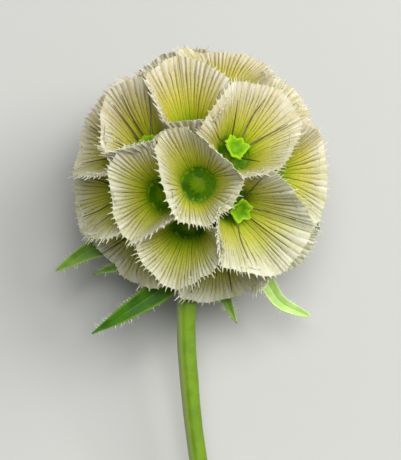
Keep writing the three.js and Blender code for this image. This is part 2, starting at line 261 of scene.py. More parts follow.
@dataclass(frozen=True)
class Place:
    """Where a fruit grows on the head and how its cup lies among its neighbours.

    Attributes:
        name: The fruit's name.
        root: Turn and rise where it grows, in degrees.
        mouth: Turn and rise where its mouth looks, if that differs.
        reach: The radius of its mouth, in millimetres.
        level: The higher of two neighbours laps over the other.
        awns: The turns of its awns in degrees, or none if they have dropped off.
        laps: How far it laps over a named neighbour, in millimetres, where that isn't as its level says.
    """

    name: str
    root: tuple[float, float]
    mouth: tuple[float, float] | None = None
    reach: float = 7.8
    level: float = 1.0
    awns: tuple[float, ...] = ()
    laps: dict[str, float] = field(default_factory=dict)

    def axis(self, distance: np.ndarray) -> np.ndarray:
        """The way the cup looks at distances from the middle of the head.

        Args:
            distance: The distances, in millimetres.

        Returns:
            The unit vectors, one row for each distance.
        """
        span = HEAD.rim_radius - HEAD.floor_height
        share = np.clip((np.asarray(distance, float) - HEAD.floor_height) / span, 0.0, 1.0)[..., None]
        return unit(mix(direction(*self.root), direction(*(self.mouth or self.root)), share))


PLACES = (
    Place("front", (-1.8, -9.5), (-1, -1), 10.2, 2.6, laps={"right_low": -1.9, "left": -0.6}),
    Place(
        "left",
        (-29, -17.5),
        (-30, -10),
        9.8,
        1.8,
        laps={"far_left": -1.8, "far_left_high": -1.5, "low_left": -1.6},
    ),
    Place("low_front", (-12, -42.8), (-13, -38), 7.3, 1.4, laps={"low_left": -1.8, "low_right": -0.8}),
    Place(
        "right_high",
        (23, 11),
        (24.5, 23.5),
        10.0,
        4,
        (5, 56, 116, 161, 285),
        {"right": 0.2, "front": 0.9, "top_right": -0.7, "right_low": -1.4, "top_front": -1.4},
    ),
    Place(
        "right_low",
        (24.5, -24),
        (39, -28),
        11.8,
        2.4,
        (20, 92, 165, 265, 328),
        {"right": 0.2, "far_right_low": 1.6, "low_right": 1.2},
    ),
    Place(
        "top_front",
        (-8, 23.5),
        (-9, 43),
        9.2,
        3.4,
        laps={"front": -1.1, "left_high": -0.6, "top_left": -0.9, "top_right": -1},
    ),
    Place(
        "left_high",
        (-33, 11.5),
        (-40, 27),
        9.8,
        3,
        (80, 126, 161, 230, 310),
        {"left": -1.4, "front": -1.2, "far_left": 0.1, "far_left_high": 0.1, "top_left": 0.1},
    ),
    Place("right", (60, -1), (59, -3), 9.2, 1.1, laps={"far_right_low": 1}),
    Place("right_top", (72, 40), reach=8.2, level=0.9),
    Place("top_right", (33, 64), reach=8.0, level=1.0),
    Place("top_left", (-75, 62), reach=8.0, level=0.8),
    Place("far_left_high", (-62, 14.5), (-64.5, 14), 8.4, 0.9, (20, 90, 155, 235, 300)),
    Place("far_left", (-60, -13), (-66.5, -12), 8.4, 0.7, (60, 148, 205, 265, 330)),
    Place("low_left", (-78, -43), (-70, -43), 10.5, 0.5, (30, 100, 172, 245, 310)),
    Place("low_right", (29, -61), (38, -59), 8.4, 0.6, (20, 90, 165, 238, 300)),
    Place("far_right_low", (78, -41), reach=8.2, level=0.8),
    Place("under", (180, -12), level=2),
    Place("back_1", (101, -2), level=0.95, awns=(40, 112, 180, 255, 330)),
    Place("back_2", (141, -12), level=1.5),
    Place("back_3", (-143, -10), level=1.3, awns=(10, 82, 150, 228, 300)),
    Place("back_4", (-103, 5), level=0.6, awns=(30, 100, 176, 245, 318)),
    Place("back_5", (110, 30), level=0.85, awns=(22, 95, 163, 240, 310)),
    Place("back_6", (145, 22), level=1.2, awns=(5, 76, 150, 219, 292)),
    Place("back_7", (180, 25), level=1.6, awns=(35, 108, 182, 250, 325)),
    Place("back_8", (-145, 24), level=1.4),
    Place("back_9", (-110, 36), level=0.75, awns=(15, 88, 160, 233, 300)),
    Place("back_10", (108, 62), level=0.7),
    Place("back_11", (-165, 60), level=1.1, awns=(28, 99, 170, 242, 315)),
    Place("back_12", (112, -34), level=0.7, awns=(12, 85, 154, 230, 300)),
    Place("back_13", (150, -44), level=1.05),
    Place("back_14", (-165, -43), level=1.25, awns=(33, 104, 177, 249, 322)),
    Place("back_15", (-114, -25), level=0.65, awns=(18, 92, 161, 236, 305)),
)


@dataclass(frozen=True)
class BractPlan:
    """One bract's shape.

    Attributes:
        rib: The points of its midrib from the collar to its tip, in millimetres.
        width: Its widest width, in millimetres.
        widest: Where along its rib it is widest.
        tone: Its finish; the darker and paler tones are painted shade and painted light.
        blunt: How its tip closes: 1 is sharp and less is rounder.
    """

    rib: tuple[Point, ...]
    width: float
    widest: float = 0.5
    tone: Tone = Tone.GREEN
    blunt: float = 0.85


BRACT_PLANS = (
    BractPlan(
        ((-1.3, -11.5, -0.6), (-9, -10.9, -2.9), (-16.2, -11.6, -4.4), (-22.9, -15.3, -4.6)),
        3.6,
        blunt=0.7,
    ),
    BractPlan(((-1.4, -11.7, -0.3), (-8, -14, -2.4), (-13.6, -14.7, -4), (-17, -15.9, -4.2)), 2.2),
    BractPlan(
        ((-1.4, -11.4, 1), (-4.0, -16.2, 2.9), (-10.0, -20.6, 3.4), (-16.7, -24.8, 3.2)),
        3.6,
        widest=0.42,
        tone=Tone.DEEP,
    ),
    BractPlan(((-0.5, -11.6, -1), (2.4, -16, -3.4), (3.9, -19.6, -3.9), (5.7, -23.5, -3)), 2.0, widest=0.6),
    BractPlan(
        ((-0.4, -11.6, -0.7), (5.2, -12.9, -3.4), (9.8, -16.2, -5), (12.6, -20.2, -5), (17.4, -22.5, -4.2)),
        2.5,
        widest=0.6,
        tone=Tone.PALE,
        blunt=0.5,
    ),
    BractPlan(((-0.5, -11.6, -1), (3.2, -17, -6.2), (6.6, -17.4, -12), (10.2, -14.9, -15)), 2.6),
    BractPlan(((-0.9, -11.6, -1.4), (-0.2, -17.2, -6.8), (0.8, -18, -11.8), (2.2, -16.4, -14.9)), 2.4),
    BractPlan(((-1.3, -11.6, -1.2), (-4, -17, -5.8), (-8, -16.8, -11), (-12.2, -13.8, -14.2)), 2.6),
)


BRACT_LINES = tuple((smooth_path(plan.rib, BRACT_STEPS), plan.width / 2) for plan in BRACT_PLANS)


@dataclass(frozen=True)
class Seams:
    """How the walls of neighbouring cups share the head, in millimetres.

    Attributes:
        rounding: How softly a wall turns from one seam to the next.
        lap_per_level: How far a cup laps over a neighbour that is one level lower.
        lap_most: The widest lap.
        lap_full: How far below the rims a lap has its full width.
        spread: The widest gap between the unit axes of cups that can touch.
        passes: How often the walls are moved back from the seams.
        bract_clearance: From a bract's edge to the middle of a wall.
        nearness: How near to a seam a rim has to be to pass over or under its neighbour's.
        softening: Over how many columns on both sides a rim's roll is evened out.
        curl: How far the upper rim rolls out over the lower cup.
        hold: How much of its roll a rim loses where it passes under another.
    """

    rounding: float = 0.16
    lap_per_level: float = 0.35
    lap_most: float = 0.8
    lap_full: float = 1.0
    spread: float = 1.1
    passes: int = 4
    bract_clearance: float = 0.35
    nearness: float = 2.0
    softening: int = 14
    curl: float = 1.6
    hold: float = 0.35

    def soft_excess(self, value: np.ndarray) -> np.ndarray:
        """A soft version of max(0, value)."""
        return self.rounding * np.logaddexp(0.0, value / self.rounding)

    def neighbours(
        self, place: Place, distance: np.ndarray
    ) -> Iterator[tuple[Place, np.ndarray, np.ndarray]]:
        """Finds the cups that can touch a cup.

        Args:
            place: The cup's place.
            distance: Distances from the middle of the head.

        Yields:
            Each neighbour, the way from it to the cup at each distance, and at which distances it is near.
        """
        axis = place.axis(distance)
        for other in PLACES:
            across = axis - other.axis(distance)
            near = length_of(across) <= self.spread
            if other is not place and near.any():
                yield other, unit(across), near

    def keep_clear(self, place: Place, points: np.ndarray, room: float) -> np.ndarray:
        """Moves a cup's wall back from the seams with its neighbours, and clear of the bracts.

        Args:
            place: The cup's place.
            points: The wall's points, a row for each height and a column for each turn.
            room: The room that the wall keeps to a seam.

        Returns:
            The moved points, each as far from the middle of the head as before.
        """
        distance = length_of(points[:, 0])[:, 0]
        middle = place.axis(distance) * distance[:, None]
        for _ in range(self.passes):
            points = self.clear_bracts(points, middle, room)
            for other, way, near in self.neighbours(place, distance):
                lap = self.lap_over(place, other, distance)[:, None, None]
                push = self.soft_excess(-(dot(points, way[:, None, :]) + lap - room))
                points = points + way[:, None, :] * push * near[:, None, :]
            points = unit(points) * distance[:, None, None]
        return points

    def lap_over(self, place: Place, other: Place, distance: np.ndarray) -> np.ndarray:
        """How far a cup laps over another.

        Args:
            place: The cup's place.
            other: The other cup's place.
            distance: Distances from the middle of the head.

        Returns:
            The lap at each distance, less than nothing where the other cup laps over this one.
        """
        size = np.clip((place.level - other.level) * self.lap_per_level, -self.lap_most, self.lap_most)
        size = place.laps.get(other.name, -other.laps.get(place.name, -size))
        return size * ease(distance, HEAD.floor_height, HEAD.rim_radius - self.lap_full)

    def rim_order(self, place: Place, rim: np.ndarray) -> tuple[np.ndarray, np.ndarray]:
        """Finds where a rim passes under and over the rims of its neighbours.

        Args:
            place: The cup's place.
            rim: The points of its rim, one for each turn.

        Returns:
            How far under a neighbour each point is, from 0 to 1, and how far and which way it rolls.
        """
        distance = np.array([HEAD.rim_radius])
        under = np.zeros(len(rim))
        roll = np.zeros_like(rim)
        for other, way, _ in self.neighbours(place, distance):
            room = (dot(rim, way) + self.lap_over(place, other, distance))[:, 0]
            near = np.exp(-((np.maximum(room, 0.0) / self.nearness) ** 2))
            if place.level < other.level:
                under = np.maximum(under, near)
            else:
                roll = roll - way * near[:, None]
        roll = unit(roll) * np.minimum(length_of(roll), 1.0) * (1.0 - self.hold * under)[:, None]
        return under, self.even_out(roll) * self.curl

    def even_out(self, values: np.ndarray) -> np.ndarray:
        """Averages values round a rim whose first and last columns are the same.

        Args:
            values: A row of numbers for each column of the rim.

        Returns:
            The averages, in the same order.
        """
        shifts = range(-self.softening, self.softening + 1)
        middle = sum(np.roll(values[:-1], shift, axis=0) for shift in shifts) / len(shifts)
        return np.concatenate((middle, middle[:1]))

    def clear_bracts(self, points: np.ndarray, middle: np.ndarray, room: float) -> np.ndarray:
        """Bends a wall round every bract.

        Args:
            points: The wall's points.
            middle: The middle of the cup at each row.
            room: The room that the wall keeps to a bract.

        Returns:
            The bent points.
        """
        for line, half_width in BRACT_LINES:
            points = self.bend_round(points, middle, line, room + half_width + self.bract_clearance)
        return points

    def bend_round(self, points: np.ndarray, middle: np.ndarray, line: np.ndarray, room: float) -> np.ndarray:
        """Bends a wall round a bract, always to its own cup's side of it.

        Args:
            points: The wall's points.
            middle: The middle of the cup at each row.
            line: The points of the bract's midrib.
            room: The room that the wall keeps to that line.

        Returns:
            The bent points.
        """
        gaps = points[:, :, None, :] - line[None, None, :, :]
        nearest = line[(gaps**2).sum(axis=-1).argmin(axis=-1)]
        towards_cup = unit(middle[:, None, :] - nearest)
        offset = points - nearest
        height = dot(offset, towards_cup)
        spread_squared = dot(offset, offset) - height**2
        return points + towards_cup * self.soft_excess(room - spread_squared / (2 * room) - height)


SEAMS = Seams()


# Meshes.


def select_only(*pieces: bpy.types.Object) -> None:
    """Selects objects and nothing else.

    Args:
        pieces: The objects, of which the first becomes the active one.
    """
    if bpy.context.object and bpy.context.object.mode != "OBJECT":
        bpy.ops.object.mode_set(mode="OBJECT")
    bpy.ops.object.select_all(action="DESELECT")
    for piece in pieces:
        piece.select_set(True)
    if pieces:
        bpy.context.view_layer.objects.active = pieces[0]


def in_edit_mode(piece: bpy.types.Object, *steps: Callable[[], object]) -> None:
    """Runs operators on a whole mesh in edit mode.

    Args:
        piece: The object to edit.
        steps: Calls that each run one operator.
    """
    select_only(piece)
    bpy.ops.object.mode_set(mode="EDIT")
    bpy.ops.mesh.select_all(action="SELECT")
    for step in steps:
        step()
    bpy.ops.object.mode_set(mode="OBJECT")


@dataclass
class Sheet:
    """A grid that is laid over rows and columns of points.

    Attributes:
        name: The name of the object it makes.
        points: Its points in the head's frame, a row along v and a column along u, in millimetres.
        u: The pattern coordinate of each column.
        v: The pattern coordinate of each row.
        finishes: Its materials.
        bands: The v from which each further material is used.
    """

    name: str
    points: np.ndarray
    u: np.ndarray
    v: np.ndarray
    finishes: Sequence[bpy.types.Material]
    bands: Sequence[float] = ()

    def build(self, closed: bool) -> bpy.types.Object:
        """Lays out the grid and welds its seam and its poles.

        Args:
            closed: Whether the grid closes to a body, whose faces are then turned outwards.

        Returns:
            The new object.
        """
        rows, columns = self.points.shape[:2]
        select_only()
        bpy.ops.mesh.primitive_grid_add(x_subdivisions=columns - 1, y_subdivisions=rows - 1, size=2)
        piece = bpy.context.object
        piece.name = self.name
        mesh = piece.data
        flat = np.empty(len(mesh.vertices) * 3)
        mesh.vertices.foreach_get("co", flat)
        flat = flat.reshape(-1, 3)
        column = np.rint((flat[:, 0] + 1) / 2 * (columns - 1)).astype(int)
        row = np.rint((flat[:, 1] + 1) / 2 * (rows - 1)).astype(int)
        world = HEAD.to_world(self.points) * MM
        mesh.vertices.foreach_set("co", world[row, column].ravel())
        corner = np.empty(len(mesh.loops), np.int32)
        mesh.loops.foreach_get("vertex_index", corner)
        uv = np.stack((self.u[column[corner]], self.v[row[corner]]), axis=1)
        mesh.uv_layers.active.data.foreach_set("uv", uv.ravel())
        mesh.uv_layers.active.name = UV_NAME
        for finish in self.finishes:
            mesh.materials.append(finish)
        if self.bands:
            middle_v = uv[:, 1].reshape(-1, 4).mean(axis=1)
            slots = np.searchsorted(self.bands, middle_v).astype(np.int32)
            mesh.polygons.foreach_set("material_index", slots)
        mesh.update()
        steps = [lambda: bpy.ops.mesh.remove_doubles(threshold=WELD_DISTANCE)]
        if closed:
            steps.append(lambda: bpy.ops.mesh.normals_make_consistent(inside=False))
        in_edit_mode(piece, *steps)
        return piece


def turn_towards(piece: bpy.types.Object, target: np.ndarray) -> None:
    """Turns an open sheet's faces to the side that a point in the row frame is on.

    Args:
        piece: The sheet.
        target: The point, in metres.
    """
    facing = 0.0
    for polygon in piece.data.polygons:
        facing += polygon.normal.dot(Vector(target) - polygon.center) * polygon.area
    if facing < 0:
        in_edit_mode(piece, bpy.ops.mesh.flip_normals)


def thicken(piece: bpy.types.Object, thickness: float, outer_slot: int) -> None:
    """Gives a sheet its thickness, half of it on each side.

    Args:
        piece: The sheet.
        thickness: In millimetres.
        outer_slot: How many material slots further the far side and the edge are.
    """
    select_only(piece)
    wall = piece.modifiers.new("wall", "SOLIDIFY")
    wall.thickness = thickness * MM
    wall.offset = 0.0
    wall.use_even_offset = False
    wall.material_offset = outer_slot
    wall.material_offset_rim = outer_slot
    bpy.ops.object.modifier_apply(modifier=wall.name)


def join(name: str, pieces: Sequence[bpy.types.Object], crease: float = 40.0) -> bpy.types.Object:
    """Joins finished parts into one piece and smooths its shading.

    Args:
        name: The piece's name.
        pieces: The parts.
        crease: Edges sharper than this many degrees stay sharp.

    Returns:
        The joined object.
    """
    select_only(*pieces)
    if len(pieces) > 1:
        bpy.ops.object.join()
    piece = bpy.context.object
    piece.name = name
    piece.data.name = name
    bpy.ops.object.shade_smooth_by_angle(angle=math.radians(crease))
    return piece


@dataclass
class Hairs:
    """Fine tapered hairs, all copies of one cone.

    Attributes:
        name: The name of the object they make.
        finish: Their material.
        radius: Their radius at the root, in millimetres.
        sides: How many sides a hair has.
    """

    name: str
    finish: bpy.types.Material
    radius: float
    sides: int = 3

    def build(self, starts: np.ndarray, ways: np.ndarray) -> bpy.types.Object:
        """Copies the cone to each start.

        Args:
            starts: The points that the hairs grow from, in the head's frame, in millimetres.
            ways: The vector from each start to its tip.

        Returns:
            The new object.
        """
        select_only()
        bpy.ops.mesh.primitive_cone_add(
            vertices=self.sides, radius1=1.0, radius2=0.0, depth=1.0, location=(0, 0, 0.5)
        )
        piece = bpy.context.object
        piece.name = self.name
        bpy.ops.object.transform_apply(location=True, rotation=True, scale=True)
        shape = np.array([v.co for v in piece.data.vertices])
        faces = [tuple(p.vertices) for p in piece.data.polygons]
        side, lift = sideways_of(unit(ways + 1e-6))
        places = (
            starts[:, None, :]
            + side[:, None, :] * (shape[None, :, 0:1] * self.radius)
            + lift[:, None, :] * (shape[None, :, 1:2] * self.radius)
            + ways[:, None, :] * shape[None, :, 2:3]
        )
        world = HEAD.to_world(places.reshape(-1, 3)) * MM
        step = len(shape)
        copies = [tuple(i + k * step for i in face) for k in range(len(starts)) for face in faces]
        mesh = bpy.data.meshes.new(self.name)
        mesh.from_pydata(world.tolist(), [], copies)
        mesh.uv_layers.new(name=UV_NAME)
        mesh.materials.append(self.finish)
        old = piece.data
        piece.data = mesh
        bpy.data.meshes.remove(old)
        in_edit_mode(piece, lambda: bpy.ops.mesh.normals_make_consistent(inside=False))
        return piece


# Materials.


class Nodes:
    """A node tree that is filled by short calls."""

    def __init__(self, tree: bpy.types.NodeTree) -> None:
        """Starts with an empty tree.

        Args:
            tree: The material's or the group's tree.
        """
        self.tree = tree
        tree.nodes.clear()

    def add(
        self, kind: str, inputs: dict[str | int, object] | None = None, **settings: object
    ) -> bpy.types.Node:
        """Adds a node.

        Args:
            kind: Blender's name of the node.
            inputs: A number, colour or socket for each named or numbered input.
            settings: The node's own settings.

        Returns:
            The node.
        """
        node = self.tree.nodes.new(kind)
        for name, value in settings.items():
            setattr(node, name, value)
        for name, value in (inputs or {}).items():
            self.feed(node.inputs[name], value)
        return node

    def feed(self, socket: bpy.types.NodeSocket, value: object) -> None:
        """Links a socket to another, or sets its value.

        Args:
            socket: The socket to feed.
            value: The other socket, a number or a colour.
        """
        if isinstance(value, bpy.types.NodeSocket):
            self.tree.links.new(value, socket)
        elif isinstance(value, tuple) and len(value) == 3 and socket.type == "RGBA":
            socket.default_value = (*value, 1.0)
        else:
            socket.default_value = value

    def calc(self, operation: str, *values: object, clamp: bool = False) -> bpy.types.NodeSocket:
        """A Math node's result."""
        node = self.add("ShaderNodeMath", dict(enumerate(values)), operation=operation, use_clamp=clamp)
        return node.outputs[0]

    def rise(
        self, value: object, low: float, high: object, start: float = 0.0, end: float = 1.0
    ) -> bpy.types.NodeSocket:
        """Goes smoothly from start, where value is low, to end, where it is high."""
        inputs = {"Value": value, "From Min": low, "From Max": high, "To Min": start, "To Max": end}
        return self.add("ShaderNodeMapRange", inputs, interpolation_type="SMOOTHSTEP").outputs["Result"]

    def blend(self, share: object, low: object, high: object, how: str = "MIX") -> bpy.types.NodeSocket:
        """Mixes two colours.

        Args:
            share: 0 gives the low colour and 1 the high one.
            low: The low colour.
            high: The high colour.
            how: Blender's name of the way to mix them.

        Returns:
            The mixed colour.
        """
        node = self.add("ShaderNodeMix", data_type="RGBA", blend_type=how)
        self.feed(node.inputs[0], share)
        self.feed(node.inputs[6], low)
        self.feed(node.inputs[7], high)
        return node.outputs[2]

    def ramp(self, value: object, stops: Sequence[tuple[float, Colour]]) -> bpy.types.NodeSocket:
        """A colour that changes with a value.

        Args:
            value: A number from 0 to 1.
            stops: The colours at rising places from 0 to 1.

        Returns:
            The colour at the value.
        """
        node = self.add("ShaderNodeValToRGB", {"Fac": value})
        elements = node.color_ramp.elements
        while len(elements) < len(stops):
            elements.new(0.5)
        for element, (place, colour) in zip(elements, stops):
            element.position = place
            element.color = (*colour, 1.0)
        return node.outputs["Color"]

    def noise(
        self, vector: object, scale: float, detail: float = 3.0, roughness: float = 0.5
    ) -> bpy.types.NodeSocket:
        """A noise texture's value."""
        inputs = {"Vector": vector, "Scale": scale, "Detail": detail, "Roughness": roughness}
        return self.add("ShaderNodeTexNoise", inputs).outputs["Fac"]

    def grain(
        self, both: object, across: float, along: float, detail: float = 2.0, roughness: float = 0.5
    ) -> bpy.types.NodeSocket:
        """A noise that is finer one way than the other.

        Args:
            both: The pattern coordinates.
            across: How fine it is along u.
            along: How fine it is along v.
            detail: How many finer layers it has.
            roughness: How strong those are.

        Returns:
            The noise's value.
        """
        scaled = self.add("ShaderNodeVectorMath", {0: both, 1: (across, along, 1.0)}, operation="MULTIPLY")
        return self.noise(scaled.outputs[0], 1.0, detail, roughness)

    def chance(self, number: object) -> bpy.types.NodeSocket:
        """A value from 0 to 1 that is drawn anew for each number."""
        return self.add("ShaderNodeTexWhiteNoise", {"W": number}, noise_dimensions="1D").outputs["Value"]

    def uv(self) -> tuple[bpy.types.NodeSocket, bpy.types.NodeSocket, bpy.types.NodeSocket]:
        """Reads the pattern coordinates of the piece.

        Returns:
            Both in one, then u and v.
        """
        both = self.add("ShaderNodeUVMap", uv_map=UV_NAME).outputs["UV"]
        split = self.add("ShaderNodeSeparateXYZ", {"Vector": both}).outputs
        return both, split["X"], split["Y"]

    def place(self) -> bpy.types.NodeSocket:
        """The Object coordinates."""
        return self.add("ShaderNodeTexCoord").outputs["Object"]

    def surface(self, shader: bpy.types.Node) -> None:
        """Makes a shader the material's surface."""
        self.add("ShaderNodeOutputMaterial", {"Surface": shader.outputs[0]})


def new_material(name: str) -> tuple[bpy.types.Material, Nodes]:
    """Starts a material.

    Args:
        name: The material's name.

    Returns:
        The material, and the calls that fill its tree.
    """
    material = bpy.data.materials.new(name)
    material.use_nodes = True
    return material, Nodes(material.node_tree)


def group(name: str, inputs: dict[str, float], outputs: Sequence[str]) -> tuple[bpy.types.NodeTree, Nodes]:
    """Starts a shader node group whose sockets are all numbers.

    Args:
        name: The group's name.
        inputs: Its inputs with their usual values.
        outputs: Its outputs.

    Returns:
        The group's tree, and the calls that fill it.
    """
    tree = bpy.data.node_groups.new(name, "ShaderNodeTree")
    for label, usual in inputs.items():
        socket = tree.interface.new_socket(label, in_out="INPUT", socket_type="NodeSocketFloat")
        socket.default_value = usual
    for label in outputs:
        tree.interface.new_socket(label, in_out="OUTPUT", socket_type="NodeSocketFloat")
    return tree, Nodes(tree)


def pleat_group() -> bpy.types.NodeTree:
    """The folds of a cup: where its ribs are, and the fine crinkles and streaks between them.

    A rib runs along each whole u, with a strength and a width of its own. A thinner one runs halfway between
    two ribs and starts at a height of its own.

    Returns:
        The group's tree.
    """
    tree, nodes = group("pleats", {"Rib Width": 0.07, "Wander": 0.32}, ("Rib", "Crinkle", "Streak", "Height"))
    given = nodes.add("NodeGroupInput").outputs
    both, u, v = nodes.uv()
    wander = nodes.calc("SUBTRACT", nodes.grain(both, 0.9, 7.0), 0.5)
    column = nodes.calc("MULTIPLY_ADD", wander, given["Wander"], u)
    past_half = nodes.calc("ADD", column, 0.5)
    apart = nodes.calc("ABSOLUTE", nodes.calc("SUBTRACT", nodes.calc("FRACT", past_half), 0.5))
    chance = nodes.chance(nodes.calc("FLOOR", past_half))
    width = nodes.calc("MULTIPLY", given["Rib Width"], nodes.calc("MULTIPLY_ADD", chance, 0.7, 0.65))
    whole = nodes.rise(apart, RIB_CORE, width, 1.0, 0.0)
    whole = nodes.calc("MULTIPLY", whole, nodes.calc("MULTIPLY_ADD", chance, 0.45, 0.55))
    between = nodes.rise(nodes.calc("SUBTRACT", 0.5, apart), RIB_CORE, given["Rib Width"], 0.8, 0.0)
    fork = nodes.chance(nodes.calc("ADD", nodes.calc("FLOOR", column), 100.5))
    above_fork = nodes.rise(nodes.calc("MULTIPLY_ADD", fork, -0.5, v), 0.1, 0.35)
    rib = nodes.calc("MAXIMUM", whole, nodes.calc("MULTIPLY", between, above_fork))
    patches = nodes.rise(nodes.grain(both, 1.4, 2.6), 0.36, 0.56, 0.45)
    rib = nodes.calc("MULTIPLY", rib, patches)
    crinkle = nodes.grain(both, 2.2, 34.0, 3.0, 0.6)
    streak = nodes.rise(nodes.grain(both, 3.6, 1.6, 3.0, 0.65), 0.4, 0.66)
    height = nodes.calc("MULTIPLY_ADD", rib, -0.35, crinkle)
    height = nodes.calc("MULTIPLY_ADD", streak, 0.5, height)
    nodes.add("NodeGroupOutput", {"Rib": rib, "Crinkle": crinkle, "Streak": streak, "Height": height})
    return tree


def skin_group() -> bpy.types.NodeTree:
    """The skin of a leaf or a stem: blotches and a fine grain.

    Returns:
        The group's tree.
    """
    tree, nodes = group("leaf_skin", {"Blotch Scale": 400.0, "Grain Scale": 3500.0}, ("Blotch", "Height"))
    given = nodes.add("NodeGroupInput").outputs
    where = nodes.place()
    blotch = nodes.noise(where, given["Blotch Scale"])
    fine = nodes.noise(where, given["Grain Scale"], 2.0)
    height = nodes.calc("MULTIPLY_ADD", blotch, 0.6, fine)
    nodes.add("NodeGroupOutput", {"Blotch": blotch, "Height": height})
    return tree


class Palette:
    """All the finishes, each made once."""

    def __init__(self) -> None:
        """Makes the groups and the materials."""
        self.pleats = pleat_group()
        self.skin = skin_group()
        self.inside = PaperFinish(
            "paper_inside",
            stops=(
                (0.0, srgb(146, 196, 12)),
                (0.12, srgb(190, 226, 16)),
                (0.30, srgb(218, 234, 44)),
                (0.50, srgb(236, 239, 100)),
                (0.70, srgb(242, 242, 158)),
                (0.86, srgb(246, 245, 198)),
                (1.0, srgb(249, 249, 224)),
            ),
            ribs=(
                (0.0, srgb(120, 134, 14)),
                (0.4, srgb(106, 84, 10)),
                (0.82, srgb(122, 100, 34)),
                (0.97, WHITE),
            ),
            rib_rise=(0.0, 0.16),
            rib_width=(0.17, 0.085),
            see_through=0.5,
        ).make(self.pleats)
        # The outside's ground is darker and greyer than the inside's: partly its own colour, partly painted
        # shade for the dark seen through the thin paper.
        self.outside = PaperFinish(
            "paper_outside",
            stops=(
                (0.0, srgb(112, 150, 16)),
                (0.2, srgb(158, 172, 44)),
                (0.45, srgb(166, 166, 82)),
                (0.75, srgb(176, 176, 120)),
                (1.0, srgb(196, 196, 158)),
            ),
            ribs=((0.0, srgb(196, 206, 110)), (0.3, srgb(236, 232, 190)), (0.6, WHITE)),
            rib_rise=(0.02, 0.2),
            rib_width=(0.14, 0.18),
            see_through=0.42,
        ).make(self.pleats)
        self.tube = self.leaf("fruit_tube", srgb(96, 140, 24), srgb(62, 104, 10), srgb(160, 186, 90))
        self.floor = self.leaf(
            "cup_floor",
            srgb(70, 112, 1),
            srgb(52, 90, 1),
            srgb(122, 150, 16),
            gloss=0.05,
            bands=(
                (0.45, 0.9),
                (0.5, 0.5),
                (0.55, 0.0),
                (0.67, 0.0),
                (0.73, 0.2),
                (0.8, 0.55),
                (0.88, 0.5),
                (1.0, 0.7),
            ),
            rays=1.2,
        )
        self.calyx = self.leaf(
            "calyx",
            srgb(108, 156, 0),
            srgb(74, 126, 0),
            srgb(166, 210, 36),
            gloss=0.1,
            bands=((0.3, 0.1), (0.45, 0.7), (0.62, 0.8), (0.72, 0.3), (0.82, 0.0), (1.0, 0.2)),
            rays=0.3,
        )
        self.core = self.leaf("receptacle", srgb(90, 112, 20), srgb(54, 76, 8), srgb(110, 130, 60))
        # Darker and paler copies of the bract finish: painted shade for the bract away from the light and
        # painted light for the bract on its side.
        deep = (srgb(60, 108, 2), srgb(44, 88, 1), srgb(112, 154, 36))
        green = (srgb(116, 156, 50), srgb(88, 132, 30), srgb(172, 198, 112))
        pale = (srgb(194, 224, 132), srgb(168, 208, 100), srgb(222, 238, 184))
        self.bracts = {
            Tone.DEEP: self.leaf(Tone.DEEP.value, *deep, midrib=True, gloss=0.2),
            Tone.GREEN: self.leaf(Tone.GREEN.value, *green, midrib=True),
            Tone.PALE: self.leaf(Tone.PALE.value, *pale, midrib=True),
        }
        # The stem's pale colour is painted light on one side of it.
        stem = (srgb(110, 144, 18), srgb(98, 132, 12), srgb(154, 172, 98))
        self.stem = self.leaf("stem", *stem, flank=True, gloss=0.25)
        self.cut = self.leaf("stem_cut", srgb(180, 196, 124), srgb(150, 176, 96), srgb(222, 228, 184))
        self.awn = BristleFinish("awn", srgb(80, 60, 12), srgb(54, 38, 6)).make()
        self.hair = BristleFinish("hair", srgb(232, 236, 206), srgb(216, 222, 184)).make()

    def leaf(
        self, name: str, main: Colour, deep: Colour, pale: Colour, **settings: object
    ) -> bpy.types.Material:
        """Makes one green finish.

        Args:
            name: The material's name.
            main: Its main colour.
            deep: The colour of its darker blotches.
            pale: The colour of its ribs, edges and bands, and of the painted light on one side.
            settings: The finish's other fields.

        Returns:
            The material.
        """
        return LeafFinish(name, main, deep, pale, **settings).make(self.skin)


